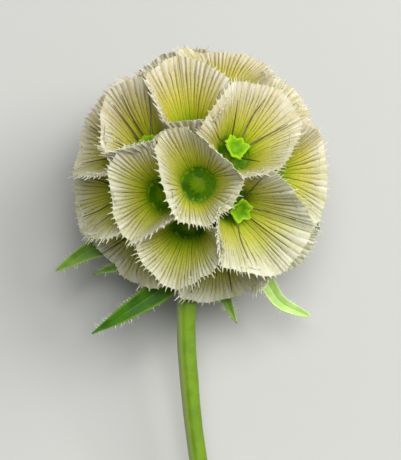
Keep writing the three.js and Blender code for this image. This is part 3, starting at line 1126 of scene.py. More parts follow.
@dataclass(frozen=True)
class PaperFinish:
    """A pleated papery membrane.

    Attributes:
        name: The material's name.
        stops: Its colours from the floor of a cup to its rim.
        ribs: The colours of its ribs, likewise.
        rib_rise: Where along the wall the ribs begin.
        rib_width: The width of a rib low on the wall and at the rim, as a share of a pleat.
        see_through: How much of its light comes from behind.
        rib_strength: How strongly the ribs are coloured.
        drift: How far the colours wander up and down the wall.
        mottle: How strong its straw patches are.
        ripe: How strongly it turns to straw at the top of the flower.
        ripe_from: The places along the flower between which it does, in metres.
        frost: How pale the rims are where it hasn't.
        streak_white_and_sheen: How white the streaks at its rim are: partly the paper's own pale streaks,
            partly a painted sheen on their raised ridges.
        rim_from: Where along the wall the frost and the streaks begin.
    """

    name: str
    stops: tuple[tuple[float, Colour], ...]
    ribs: tuple[tuple[float, Colour], ...]
    rib_rise: tuple[float, float]
    rib_width: tuple[float, float]
    see_through: float
    rib_strength: float = 0.9
    drift: float = 0.24
    mottle: float = 0.3
    ripe: float = 0.6
    ripe_from: tuple[float, float] = (0.022, 0.04)
    frost: float = 0.36
    streak_white_and_sheen: float = 0.8
    rim_from: float = 0.6

    def make(self, pleats: bpy.types.NodeTree) -> bpy.types.Material:
        """Makes the material.

        Args:
            pleats: The group that says where the ribs are.

        Returns:
            The material.
        """
        material, nodes = new_material(self.name)
        _, _, v = nodes.uv()
        width = nodes.rise(v, 0.15, 0.65, *self.rib_width)
        fold = nodes.add("ShaderNodeGroup", {"Rib Width": width}, node_tree=pleats).outputs
        wander = nodes.calc("SUBTRACT", nodes.noise(nodes.place(), 160.0, 2.0), 0.5)
        along = nodes.calc("MULTIPLY_ADD", wander, self.drift, v)
        strength = nodes.calc("MULTIPLY", fold["Rib"], nodes.rise(v, *self.rib_rise, 0.0, self.rib_strength))
        ground = self.ground(nodes, nodes.ramp(along, self.stops), v, fold["Crinkle"], fold["Streak"])
        colour = nodes.blend(strength, ground, nodes.ramp(along, self.ribs))
        bump = nodes.add("ShaderNodeBump", {"Strength": 0.4, "Distance": 0.00014, "Height": fold["Height"]})
        normal = bump.outputs["Normal"]
        skin = nodes.add(
            "ShaderNodeBsdfPrincipled",
            {
                "Base Color": colour,
                "Roughness": nodes.rise(fold["Crinkle"], 0.2, 0.8, 0.46, 0.7),
                "Normal": normal,
                "Sheen Weight": 0.08,
                "Sheen Roughness": 0.4,
                "Specular IOR Level": 0.25,
            },
        )
        glow = nodes.add("ShaderNodeBsdfTranslucent", {"Color": colour, "Normal": normal})
        shaders = {0: self.see_through, 1: skin.outputs[0], 2: glow.outputs[0]}
        nodes.surface(nodes.add("ShaderNodeMixShader", shaders))
        return material

    def ground(
        self,
        nodes: Nodes,
        colour: bpy.types.NodeSocket,
        v: bpy.types.NodeSocket,
        crinkle: bpy.types.NodeSocket,
        streak: bpy.types.NodeSocket,
    ) -> bpy.types.NodeSocket:
        """The membrane's colour between its ribs.

        Args:
            nodes: The material's nodes.
            colour: Its plain colour.
            v: 0 at the floor of the cup and 1 at its rim.
            crinkle: The fine folds across the wall, whose hollows are painted darker as painted shade.
            streak: The streaks along it.

        Returns:
            The colour with its patches, its ripeness, its frost, the painted shade in its crinkles, and its
            streaks with their painted sheen.
        """
        patches = nodes.rise(nodes.noise(nodes.place(), 90.0), 0.35, 0.7)
        colour = nodes.blend(nodes.calc("MULTIPLY", patches, self.mottle), colour, STRAW, "MULTIPLY")
        along_flower = nodes.add("ShaderNodeSeparateXYZ", {"Vector": nodes.place()}).outputs["Y"]
        ripeness = nodes.rise(along_flower, *self.ripe_from)
        colour = nodes.blend(nodes.calc("MULTIPLY", ripeness, self.ripe), colour, RIPE, "MULTIPLY")
        at_rim = nodes.rise(v, self.rim_from, 1.0, 0.0, self.frost)
        frost = nodes.calc("MULTIPLY", nodes.calc("SUBTRACT", 1.0, ripeness), at_rim)
        colour = nodes.blend(frost, colour, FROST)
        # Painted shade: the colour is darkened where the crinkles dip.
        shade = nodes.rise(crinkle, 0.3, 0.72, 0.86, 1.0)
        grey = nodes.add("ShaderNodeCombineColor", dict.fromkeys(range(3), shade)).outputs[0]
        colour = nodes.blend(1.0, colour, grey, "MULTIPLY")
        # The white streaks near the rim are partly the paper's own pale streaks and partly a painted sheen on
        # the ridges that the bump raises.
        streak_white_and_sheen = nodes.calc("MULTIPLY", streak, nodes.rise(v, self.rim_from, 1.0, 0.0, self.streak_white_and_sheen))
        return nodes.blend(streak_white_and_sheen, colour, WHITE)


@dataclass(frozen=True)
class LeafFinish:
    """Green plant skin.

    Attributes:
        name: The material's name.
        main: Its main colour.
        deep: The colour of its darker blotches.
        pale: The colour of its ribs, edges and bands, and of the painted light on one side.
        midrib: Whether a pale rib runs along the middle of its pattern, and a pale edge on both sides.
        flank: Whether one side of it is painted paler, as painted light.
        gloss: How shiny it is.
        bands: How pale it is at places along its pattern.
        rays: How ragged those bands are round their middle.
    """

    name: str
    main: Colour
    deep: Colour
    pale: Colour
    midrib: bool = False
    flank: bool = False
    gloss: float = 0.35
    bands: tuple[tuple[float, float], ...] = ()
    rays: float = 0.0

    def make(self, skin_tree: bpy.types.NodeTree) -> bpy.types.Material:
        """Makes the material.

        Args:
            skin_tree: The group with the blotches and the grain.

        Returns:
            The material.
        """
        material, nodes = new_material(self.name)
        both, u, v = nodes.uv()
        skin = nodes.add("ShaderNodeGroup", node_tree=skin_tree).outputs
        colour = nodes.blend(nodes.rise(skin["Blotch"], 0.36, 0.66), self.deep, self.main)
        height = skin["Height"]
        if self.midrib:
            apart = nodes.calc("ABSOLUTE", nodes.calc("SUBTRACT", u, 0.5))
            rib = nodes.rise(apart, 0.01, 0.06, 0.3, 0.0)
            edge = nodes.rise(apart, 0.36, 0.5, 0.0, 0.75)
            colour = nodes.blend(nodes.calc("MAXIMUM", rib, edge), colour, self.pale)
            height = nodes.calc("MULTIPLY_ADD", rib, -1.2, height)
        # Painted light: one side is painted paler, for how the light falls on it.
        if self.flank:
            side = nodes.calc("COSINE", nodes.calc("MULTIPLY", u, math.tau))
            colour = nodes.blend(nodes.rise(side, 0.25, 0.85, 0.0, 0.85), colour, self.pale)
        if self.bands:
            ragged = nodes.calc("SUBTRACT", nodes.grain(both, 26.0, 5.0), 0.5)
            along = nodes.calc("MULTIPLY_ADD", ragged, self.rays * 0.35, v)
            share = nodes.ramp(along, [(place, (share, share, share)) for place, share in self.bands])
            colour = nodes.blend(share, colour, self.pale)
        bump = nodes.add("ShaderNodeBump", {"Strength": 0.25, "Distance": 0.0002, "Height": height})
        body = nodes.add(
            "ShaderNodeBsdfPrincipled",
            {
                "Base Color": colour,
                "Roughness": nodes.rise(skin["Blotch"], 0.3, 0.7, 0.4, 0.58),
                "Normal": bump.outputs["Normal"],
                "Subsurface Weight": 0.12,
                "Subsurface Scale": 0.0006,
                "Subsurface Radius": (0.6, 1.0, 0.2),
                "Specular IOR Level": self.gloss,
            },
        )
        nodes.surface(body)
        return material


@dataclass(frozen=True)
class BristleFinish:
    """A stiff thin bristle or hair.

    Attributes:
        name: The material's name.
        root: The colour at its root.
        tip: The colour at its tip.
    """

    name: str
    root: Colour
    tip: Colour

    def make(self) -> bpy.types.Material:
        """Makes the material.

        Returns:
            The material.
        """
        material, nodes = new_material(self.name)
        _, _, v = nodes.uv()
        grain = nodes.noise(nodes.place(), 2600.0)
        share = nodes.calc("MULTIPLY_ADD", nodes.calc("SUBTRACT", grain, 0.5), 0.5, v, clamp=True)
        colour = nodes.blend(share, self.root, self.tip)
        roughness = nodes.rise(grain, 0.2, 0.8, 0.35, 0.55)
        nodes.surface(nodes.add("ShaderNodeBsdfPrincipled", {"Base Color": colour, "Roughness": roughness}))
        return material


# The fruits.


def ring_points(
    axis: np.ndarray, height: np.ndarray, radius: np.ndarray, angles: np.ndarray
) -> np.ndarray:
    """Points in rings round an axis that may turn from ring to ring.

    Args:
        axis: The unit axis of each ring, or one for all.
        height: The places along it, a row for each ring and a column for each angle, or one for all angles.
        radius: The radii, likewise.
        angles: The turn of each column.

    Returns:
        The points, a row for each ring and a column for each angle.
    """
    right, top = sideways_of(axis)
    cos, sin = np.cos(angles)[None, :, None], np.sin(angles)[None, :, None]
    around = right[:, None, :] * cos + top[:, None, :] * sin
    return axis[:, None, :] * height[..., None] + around * radius[..., None]


@dataclass(frozen=True)
class Waves:
    """Uneven waves in a cup's wall.

    Attributes:
        turns: How many waves of each kind there are round the rim.
        size: The height of the first kind at the rim, in millimetres. Each further kind is a bit lower.
        growth: How fast they grow towards the rim.
        fall: The height of each kind, as a share of the one before.
    """

    turns: tuple[int, ...]
    size: float
    growth: float
    fall: float = 0.8


@dataclass
class Fruit:
    """One fruit: a green tube, its pleated papery cup, and the calyx with its awns if they are still there.

    Attributes:
        place: Where it grows.
        palette: The finishes.
        seed: Sets its own small irregularities.
        floor_radius: Radius of the cup's floor.
        root_height: Where the tube starts, from the middle of the head.
        root_radius: The tube's radius there.
        paper: Thickness of the membrane.
        margin: The room that its middle keeps to a seam.
        flare: 1 is a straight cone, more is a wider bell.
        pleat_counts: The fewest pleats, and one more than the most.
        pleat_jitter: How unevenly they are spaced, as a share of a pleat.
        pleat_depth: How far the membrane bulges between its ribs, at the rim.
        roll_growth: How late on the wall its roll over a neighbour begins.
        ruffle: How the rim rises and falls.
        flutter: How the rim swings in and out.
        tooth: How far a rib stands out over the rim.
        small_tooth: How far the rim stands out between two ribs.
        tooth_sizes: The least and greatest length of a tooth, as a share of that.
        tooth_loss: How much of a tooth is lost where the rim passes under another.
        tuck: How much lower a rim is where it passes under another, as a share of the wall.
        calyx_height: Height of the calyx's brim, from the middle of the head.
        lobe_sizes: The least and greatest size of a lobe of the calyx.
        lobe_width: Half the width of a lobe, in radians.
        awn_start: How far from the calyx's axis an awn starts.
        awn_end: Where on the wall it ends.
        awn_radii: Its radius at its start and at its tip.
        awn_sway: How far its middle sways to a side at most.
        awn_sag: How far its middle sags.
        awn_gap: How far its end stays from the wall.
        ridge: How high the tube's eight ridges are, as a share of its radius.
        star: How far the star on the cup's floor stands out, likewise.
        rows: The places of the membrane's rows on the wall.
        folds: The places of its columns on a pleat.
    """

    place: Place
    palette: Palette
    seed: int
    floor_radius: float = 2.65
    root_height: float = 9.0
    root_radius: float = 2.0
    paper: float = 0.1
    margin: float = 0.16
    flare: float = 1.5
    pleat_counts: tuple[int, int] = (30, 36)
    pleat_jitter: float = 0.12
    pleat_depth: float = 0.34
    roll_growth: float = 2.2
    ruffle: Waves = Waves(turns=(2, 3, 5, 9, 14), size=0.17, growth=2.0)
    flutter: Waves = Waves(turns=(4, 7, 11, 16), size=0.1, growth=3.0)
    tooth: float = 1.0
    small_tooth: float = 0.6
    tooth_sizes: tuple[float, float] = (0.4, 1.3)
    tooth_loss: float = 0.8
    tuck: float = 0.1
    calyx_height: float = 14.1
    lobe_sizes: tuple[float, float] = (0.7, 1.2)
    lobe_width: float = 0.62
    awn_start: float = 1.65
    awn_end: float = 0.93
    awn_radii: tuple[float, float] = (0.13, 0.045)
    awn_sway: float = 0.35
    awn_sag: float = 0.25
    awn_gap: float = 0.42
    ridge: float = 0.035
    star: float = 0.06
    rows: tuple[float, ...] = (0, 0.04, 0.1, 0.18, 0.27, 0.37, 0.47, 0.57, 0.67, 0.76, 0.84, 0.91, 0.96, 1)
    folds: tuple[float, ...] = (0, 0.06, 0.25, 0.44, 0.5, 0.56, 0.75, 0.94)
    random: np.random.Generator = field(init=False)
    pleats: int = field(init=False)
    phase: float = field(init=False)

    def __post_init__(self) -> None:
        """Draws the fruit's own irregularities."""
        self.random = np.random.default_rng(self.seed)
        self.pleats = int(self.random.integers(*self.pleat_counts))
        self.phase = float(self.random.uniform(0, math.tau))

    def wall(self, shares: np.ndarray, angles: np.ndarray) -> np.ndarray:
        """The middle of the cup's wall.

        Args:
            shares: 0 at the floor and 1 at the rim, one for each row.
            angles: Turns round the cup's axis, one for each column.

        Returns:
            Points, a row for each share and a column for each angle.
        """
        reach = self.place.reach + 0.1
        ends = np.array((HEAD.floor_height, math.sqrt(HEAD.rim_radius**2 - self.place.reach**2)))
        radius = np.array((self.floor_radius, reach))
        rings = ring_points(self.place.axis(ends), ends[:, None], radius[:, None], angles)
        floor, rim = SEAMS.keep_clear(self.place, rings, self.margin)
        middle = self.place.axis(ends[:1] / 2 + ends[1:] / 2)
        climb = middle * dot(rim - floor, middle)
        share = shares[:, None, None]
        points = floor + climb * share + (rim - floor - climb) * share**self.flare
        distance = np.hypot(mix(ends[0], ends[1], shares), mix(self.floor_radius, reach, shares**self.flare))
        points = unit(points) * distance[:, None, None]
        points = HEAD.swell(SEAMS.keep_clear(self.place, points, self.margin))
        return SEAMS.clear_bracts(points, self.place.axis(distance) * distance[:, None], self.margin)

    def membrane(self) -> bpy.types.Object:
        """Builds the papery cup, folded along its ribs, with a toothed rim.

        Returns:
            The cup.
        """
        fold = np.tile(np.array(self.folds), self.pleats)
        u = np.append(np.repeat(np.arange(self.pleats), len(self.folds)) + fold, self.pleats)
        jitter = self.random.uniform(-self.pleat_jitter, self.pleat_jitter, self.pleats)
        ribs = np.arange(self.pleats + 1) + np.append(jitter, jitter[0])
        angles = np.interp(u, np.arange(self.pleats + 1), ribs) * math.tau / self.pleats + self.phase
        v = np.array(self.rows)
        points = self.wall(v, angles)
        points[:, -1] = points[:, 0]
        under, roll = SEAMS.rim_order(self.place, points[-1])
        points = resample(points, v, v[:, None] * (1 - self.tuck * under)[None, :])
        points = points + roll[None, :, :] * (v**self.roll_growth)[:, None, None]
        rise = unit(np.gradient(points, axis=0))
        around = np.roll(points[:, :-1], -1, axis=1) - np.roll(points[:, :-1], 1, axis=1)
        inward = unit(np.cross(rise, np.concatenate((around, around[:, :1]), axis=1)))
        points = points + inward * self.pleat_bulge(u % 1.0, v)[..., None]
        points = points + rise * self.rim_wave(angles, v, self.ruffle)[..., None]
        points = points + inward * self.rim_wave(angles, v, self.flutter)[..., None]
        points[-1] = points[-1] + rise[-1] * self.teeth(u % 1.0, under)[:, None]
        sheet = Sheet("membrane", points, u, v, (self.palette.inside, self.palette.outside))
        piece = sheet.build(closed=False)
        axis = self.place.axis(np.array([HEAD.rim_radius]))[0]
        turn_towards(piece, HEAD.to_world(axis * HEAD.rim_radius) * MM)
        thicken(piece, self.paper, outer_slot=1)
        return piece

    def pleat_bulge(self, within: np.ndarray, v: np.ndarray) -> np.ndarray:
        """How far the membrane bulges inwards between two ribs, with a fold along the middle.

        Args:
            within: The place of each column on its pleat, from 0 to 1.
            v: The share of the wall at each row.

        Returns:
            The distance for each row and column, in millimetres.
        """
        once, twice = (np.abs(np.sin(count * math.pi * within)) ** 0.8 for count in (1, 2))
        bulge = 0.5 * once + 0.5 * twice - 0.45
        return bulge[None, :] * (self.pleat_depth * ease(v, 0.08, 0.95))[:, None]

    def rim_wave(self, angles: np.ndarray, v: np.ndarray, waves: Waves) -> np.ndarray:
        """How far a wavy wall is from where an even one would be.

        Args:
            angles: The turn of each column.
            v: The share of the wall at each row.
            waves: The waves.

        Returns:
            The distance for each row and column, in millimetres.
        """
        height = np.zeros_like(angles)
        for index, count in enumerate(waves.turns):
            shift = self.random.uniform(0, math.tau)
            height += waves.size * waves.fall**index * np.sin(count * angles + shift)
        return height[None, :] * (v[:, None] ** waves.growth)

    def teeth(self, within: np.ndarray, under: np.ndarray) -> np.ndarray:
        """How far the rim stands out at each column.

        Args:
            within: The place of each column on its pleat, from 0 to 1.
            under: How far under a neighbour's rim it is, from 0 to 1.

        Returns:
            The distance for each column, in millimetres.
        """
        edge = np.where(within == 0, self.tooth, np.where(within == 0.5, self.small_tooth, 0.0))
        sizes = self.random.uniform(*self.tooth_sizes, self.pleats)
        sizes = np.append(np.repeat(sizes, len(self.folds)), sizes[0])
        return edge * sizes * (1 - self.tooth_loss * under)

    def tube(self) -> bpy.types.Object:
        """Builds the green tube with the cup's floor on top of it.

        Returns:
            The tube.
        """
        profile = (
            (0.0, self.root_height),
            (self.root_radius, self.root_height),
            (self.root_radius + 0.1, 10.2),
            (self.root_radius + 0.4, 11.4),
            (self.floor_radius + 0.08, 12.2),
            (self.floor_radius + 0.12, 12.42),
            (self.floor_radius, 12.44),
            (self.floor_radius - 0.1, 12.3),
            (self.floor_radius - 0.45, 12.16),
            (1.7, 12.18),
            (1.25, 12.24),
            (0.95, 12.26),
            (0.7, 12.32),
            (0.35, 12.4),
            (0.0, 12.42),
        )
        tube_rows, star_rows = 7, (10, 13)
        angles = np.linspace(0, math.tau, 49)
        radius, height = np.array(profile).T
        ridges = 1 + self.ridge * np.cos(8 * angles)
        star = 1 + self.star * np.cos(5 * angles + self.phase)
        rows = np.arange(len(profile))[:, None]
        shape = np.where(rows < tube_rows, ridges, 1.0)
        shape = np.where((rows >= star_rows[0]) & (rows <= star_rows[1]), star, shape)
        points = ring_points(self.place.axis(height), height[:, None], radius[:, None] * shape, angles)
        v = np.linspace(0, 1, len(profile))
        finishes = (self.palette.tube, self.palette.floor)
        floor_from = (tube_rows - 0.7) / (len(profile) - 1)
        sheet = Sheet("tube", points, angles / math.tau, v, finishes, bands=(floor_from,))
        return sheet.build(closed=True)

    def calyx(self) -> bpy.types.Object:
        """Builds the small green calyx: a stalk under a saucer with a lobe for each awn.

        Returns:
            The calyx.
        """
        angles = np.linspace(0, math.tau, 61)
        lobes = np.zeros_like(angles)
        for turn in self.place.awns:
            apart = (angles - math.radians(turn) + math.pi) % math.tau - math.pi
            size = self.random.uniform(*self.lobe_sizes)
            lobes = np.maximum(lobes, size * np.clip(1 - np.abs(apart) / self.lobe_width, 0, 1) ** 1.3)
        wobble = 1.06 + 0.08 * np.sin(3 * angles + self.phase) + 0.05 * np.sin(8 * angles)
        brim = self.calyx_height
        # Radius and height, and how much a lobe adds to each.
        profile = (
            (0.0, 12.2, 0.0, 0.0),
            (0.68, 12.2, 0.0, 0.0),
            (0.64, 12.9, 0.05, 0.0),
            (1.0, brim - 0.75, 0.15, 0.0),
            (1.3, brim - 0.4, 0.4, 0.1),
            (1.44, brim - 0.1, 0.62, 0.28),
            (1.34, brim + 0.06, 0.5, 0.34),
            (1.1, brim - 0.06, 0.3, 0.2),
            (0.78, brim - 0.34, 0.1, 0.05),
            (0.34, brim - 0.4, 0.0, 0.0),
            (0.0, brim - 0.3, 0.0, 0.0),
        )
        radius = np.array([out * wobble + more * lobes for out, _, more, _ in profile])
        height = np.array([up + more * lobes for _, up, _, more in profile])
        points = ring_points(self.place.axis(np.array([brim])), height, radius, angles)
        v = np.linspace(0, 1, len(profile))
        return Sheet("calyx", points, angles / math.tau, v, (self.palette.calyx,)).build(closed=True)

    def awn(self, turn: float) -> bpy.types.Object:
        """Builds one awn: a thin curved bristle from a lobe of the calyx to the cup's mouth.

        Args:
            turn: Its turn round the cup's axis, in degrees.

        Returns:
            The bristle.
        """
        angle = math.radians(turn)
        axis = self.place.axis(np.array([self.calyx_height]))[0]
        right, top = sideways_of(axis)
        out = right * math.cos(angle) + top * math.sin(angle)
        start = axis * (self.calyx_height + 0.06) + out * self.awn_start
        end = self.wall(np.array([0.0, self.awn_end]), np.array([angle]))[1, 0] - out * self.awn_gap
        sway = self.random.uniform(-self.awn_sway, self.awn_sway)
        middle = mix(start, end, 0.5) - axis * self.awn_sag + np.cross(axis, out) * sway
        steps = 12
        line = smooth_path([tuple(start), tuple(middle), tuple(end)], steps)
        radii = np.linspace(*self.awn_radii, steps + 1)
        return tube_along("awn", line, radii, 6, self.palette.awn)

    def build(self) -> bpy.types.Object:
        """Builds the whole fruit.

        Returns:
            The piece.
        """
        parts = [self.membrane(), self.tube()]
        if self.place.awns:
            parts.append(self.calyx())
            parts.extend(self.awn(turn) for turn in self.place.awns)
        return join(f"fruit_{self.place.name}", parts)


def tube_along(
    name: str,
    line: np.ndarray,
    radii: np.ndarray,
    sides: int,
    finish: bpy.types.Material,
    ribs: float = 0.0,
) -> bpy.types.Object:
    """A round body along a line, closed at both ends.

    Args:
        name: The object's name.
        line: The points of its middle.
        radii: Its radius at each point.
        sides: How many sides it has.
        finish: Its material.
        ribs: How deep its eight grooves are, as a share of its radius.

    Returns:
        The body.
    """
    tangent = unit(np.gradient(line, axis=0))
    side = unit(np.cross(tangent, np.array((0.02, 0.05, 1.0))))
    lift = np.cross(side, tangent)
    angles = np.linspace(0, math.tau, sides + 1)
    shape = 1 - ribs * (0.5 - 0.5 * np.cos(8 * angles))
    wall = (
        line[:, None, :]
        + side[:, None, :] * (np.cos(angles) * shape)[None, :, None] * radii[:, None, None]
        + lift[:, None, :] * (np.sin(angles) * shape)[None, :, None] * radii[:, None, None]
    )
    first, last = (np.repeat(line[end][None, None, :], sides + 1, axis=1) for end in (0, -1))
    points = np.concatenate((first, wall, last))
    v = np.concatenate(([0.0], np.linspace(0, 1, len(line)), [1.0]))
    return Sheet(name, points, angles / math.tau, v, (finish,)).build(closed=True)


@dataclass
class Receptacle:
    """The green ball that the fruits grow on.

    Attributes:
        palette: The finishes.
        radius: The ball's radius.
        bump: How high its bumps are.
        flat: How far below its middle it is cut flat.
    """

    palette: Palette
    radius: float = 10.0
    bump: float = 0.12
    flat: float = 9.8

    def build(self) -> bpy.types.Object:
        """Builds the ball, bumpy between the fruits and cut flat where the collar seats.

        Returns:
            The piece.
        """
        angles = np.linspace(0, math.tau, 97)
        rises = np.linspace(-math.pi / 2, math.pi / 2, 49)[:, None]
        radius = self.radius + self.bump * np.sin(11 * angles) * np.sin(13 * rises)
        x = radius * np.cos(rises) * np.sin(angles)
        z = radius * np.cos(rises) * np.cos(angles)
        y = np.maximum(radius * np.sin(rises), -self.flat)
        points = np.stack((x, y, z), axis=-1)
        v = np.linspace(0, 1, len(rises))
        sheet = Sheet("receptacle", points, angles / math.tau, v, (self.palette.core,))
        return join("receptacle", [sheet.build(closed=True)])


# The involucre.


@dataclass
class Bract:
    """One narrow green bract with a channel along it and hairs on its edges.

    Attributes:
        name: The piece's name.
        plan: Its shape.
        palette: The finishes.
        seed: Sets its own small irregularities.
        thickness: Of the blade, in millimetres.
        channel: How deep its channel is, as a share of its width.
        groove: How deep the groove over its midrib is.
        groove_width: Half its width, as a share of the blade's.
        root_width: The blade's width at the collar, as a share of its widest.
        tip_width: The least that is left of it at the tip, likewise, before the tip is blunted.
        rows: How many stretches there are along it.
        columns: How many there are across it.
        hairs: How many hairs its edges have.
        hair_radius: Their radius at the root.
        hair_lengths: Their least and greatest length.
        hair_lean: How much they lean towards the tip.
        hair_scatter: How unevenly they point.
    """

    name: str
    plan: BractPlan
    palette: Palette
    seed: int
    thickness: float = 0.32
    channel: float = 0.13
    groove: float = 0.06
    groove_width: float = 0.06
    root_width: float = 0.45
    tip_width: float = 0.004
    rows: int = 40
    columns: int = 12
    hairs: int = 64
    hair_radius: float = 0.04
    hair_lengths: tuple[float, float] = (0.4, 1.3)
    hair_lean: float = 0.35
    hair_scatter: float = 0.3

    def build(self) -> bpy.types.Object:
        """Builds the blade and its hairs.

        Returns:
            The piece.
        """
        random = np.random.default_rng(self.seed)
        share = np.linspace(0, 1, self.rows + 1)
        line = smooth_path(self.plan.rib, self.rows)
        tangent = unit(np.gradient(line, axis=0))
        side = unit(np.cross(FACING, tangent))
        normal = np.cross(tangent, side)
        width = self.plan.width * self.width_at(share)
        across = np.linspace(-0.5, 0.5, self.columns + 1)
        ruffle = 0.05 * np.sin(share * 21 + random.uniform(0, 6)) + 0.03 * np.sin(share * 47)
        lift = self.channel * 2 * np.abs(across)[None, :] ** 1.4 * width[:, None]
        lift = lift + ruffle[:, None] * np.abs(across)[None, :] * 2
        lift = lift - self.groove * np.exp(-((across / self.groove_width) ** 2))[None, :]
        points = (
            line[:, None, :]
            + side[:, None, :] * (across[None, :] * width[:, None])[..., None]
            + normal[:, None, :] * lift[..., None]
        )
        finish = self.palette.bracts[self.plan.tone]
        blade = Sheet("blade", points, across + 0.5, share, (finish,)).build(closed=False)
        middle = self.rows // 2
        turn_towards(blade, HEAD.to_world(line[middle] + normal[middle] * 50) * MM)
        thicken(blade, self.thickness, outer_slot=0)
        index = (random.uniform(0.08, 0.96, self.hairs) * self.rows).astype(int)
        way = np.where(random.uniform(size=self.hairs) < 0.5, -1.0, 1.0)[:, None]
        edge = side[index] * way
        starts = line[index] + edge * (width[index] * 0.48)[:, None]
        starts = starts + normal[index] * (self.channel * width[index])[:, None]
        lengths = random.uniform(*self.hair_lengths, self.hairs)[:, None]
        scatter = random.normal(0, self.hair_scatter, (self.hairs, 3))
        ways = unit(edge + tangent[index] * self.hair_lean + scatter)
        hairs = Hairs("rim_hairs", self.palette.hair, self.hair_radius).build(starts, ways * lengths)
        return join(self.name, [blade, hairs], crease=50.0)

    def width_at(self, share: np.ndarray) -> np.ndarray:
        """The blade's width along its rib.

        Args:
            share: Places along the rib, from 0 at the collar to 1 at the tip.

        Returns:
            The width at each place, as a share of its widest.
        """
        opening = mix(self.root_width, 1.0, ease(share, 0, self.plan.widest))
        closing = np.maximum(0, (share - self.plan.widest) / (1 - self.plan.widest))
        return opening * np.maximum(self.tip_width, 1 - closing**1.5) ** self.plan.blunt


@dataclass
class Collar:
    """The green collar under the head, which carries the bracts.

    Attributes:
        palette: The finishes.
        axis_x: How far right of the head's axis it sits.
        profile: The radii and places along the stem's axis of its outline.
        ridge: How high its eight ridges are, as a share of its radius.
        hairs: How many hairs it has.
        hair_ring: Their distance from its axis.
        hair_span: The lowest and highest place where they grow.
        hair_rises: How much they point down and up at most.
        hair_lengths: Their least and greatest length.
        hair_radius: Their radius at the root.
        seed: Sets where they grow.
    """

    palette: Palette
    axis_x: float = -0.9
    profile: tuple[tuple[float, float], ...] = (
        (0, -10.1),
        (2.3, -10.1),
        (2.36, -10.6),
        (2.2, -11.4),
        (1.95, -12.2),
        (1.8, -12.8),
        (1.72, -13),
        (0, -13),
    )
    ridge: float = 0.03
    hairs: int = 120
    hair_ring: float = 1.9
    hair_span: tuple[float, float] = (-12.9, -10.6)
    hair_rises: tuple[float, float] = (-0.6, 0.1)
    hair_lengths: tuple[float, float] = (0.6, 1.2)
    hair_radius: float = 0.04
    seed: int = 91

    def build(self) -> bpy.types.Object:
        """Builds the collar with its hairs.

        Returns:
            The piece.
        """
        angles = np.linspace(0, math.tau, 65)
        radius, height = np.array(self.profile, float).T[..., None]
        radius = radius * (1 + self.ridge * np.cos(8 * angles))
        y = np.broadcast_to(height, radius.shape)
        points = np.stack((radius * np.cos(angles) + self.axis_x, y, -radius * np.sin(angles)), axis=-1)
        v = np.linspace(0, 1, len(self.profile))
        sheet = Sheet("collar", points, angles / math.tau, v, (self.palette.tube,))
        body = sheet.build(closed=True)
        random = np.random.default_rng(self.seed)
        turn = random.uniform(0, math.tau, self.hairs)
        rises = random.uniform(*self.hair_rises, self.hairs)
        ways = unit(np.stack((np.cos(turn), rises, np.sin(turn)), axis=1))
        heights = random.uniform(*self.hair_span, self.hairs)
        ring = (self.hair_ring * np.cos(turn) + self.axis_x, heights, self.hair_ring * np.sin(turn))
        lengths = random.uniform(*self.hair_lengths, self.hairs)[:, None]
        hairs = Hairs("collar_hairs", self.palette.hair, self.hair_radius)
        fuzz = hairs.build(np.stack(ring, axis=1), ways * lengths)
        return join("collar", [body, fuzz])


# The stem.


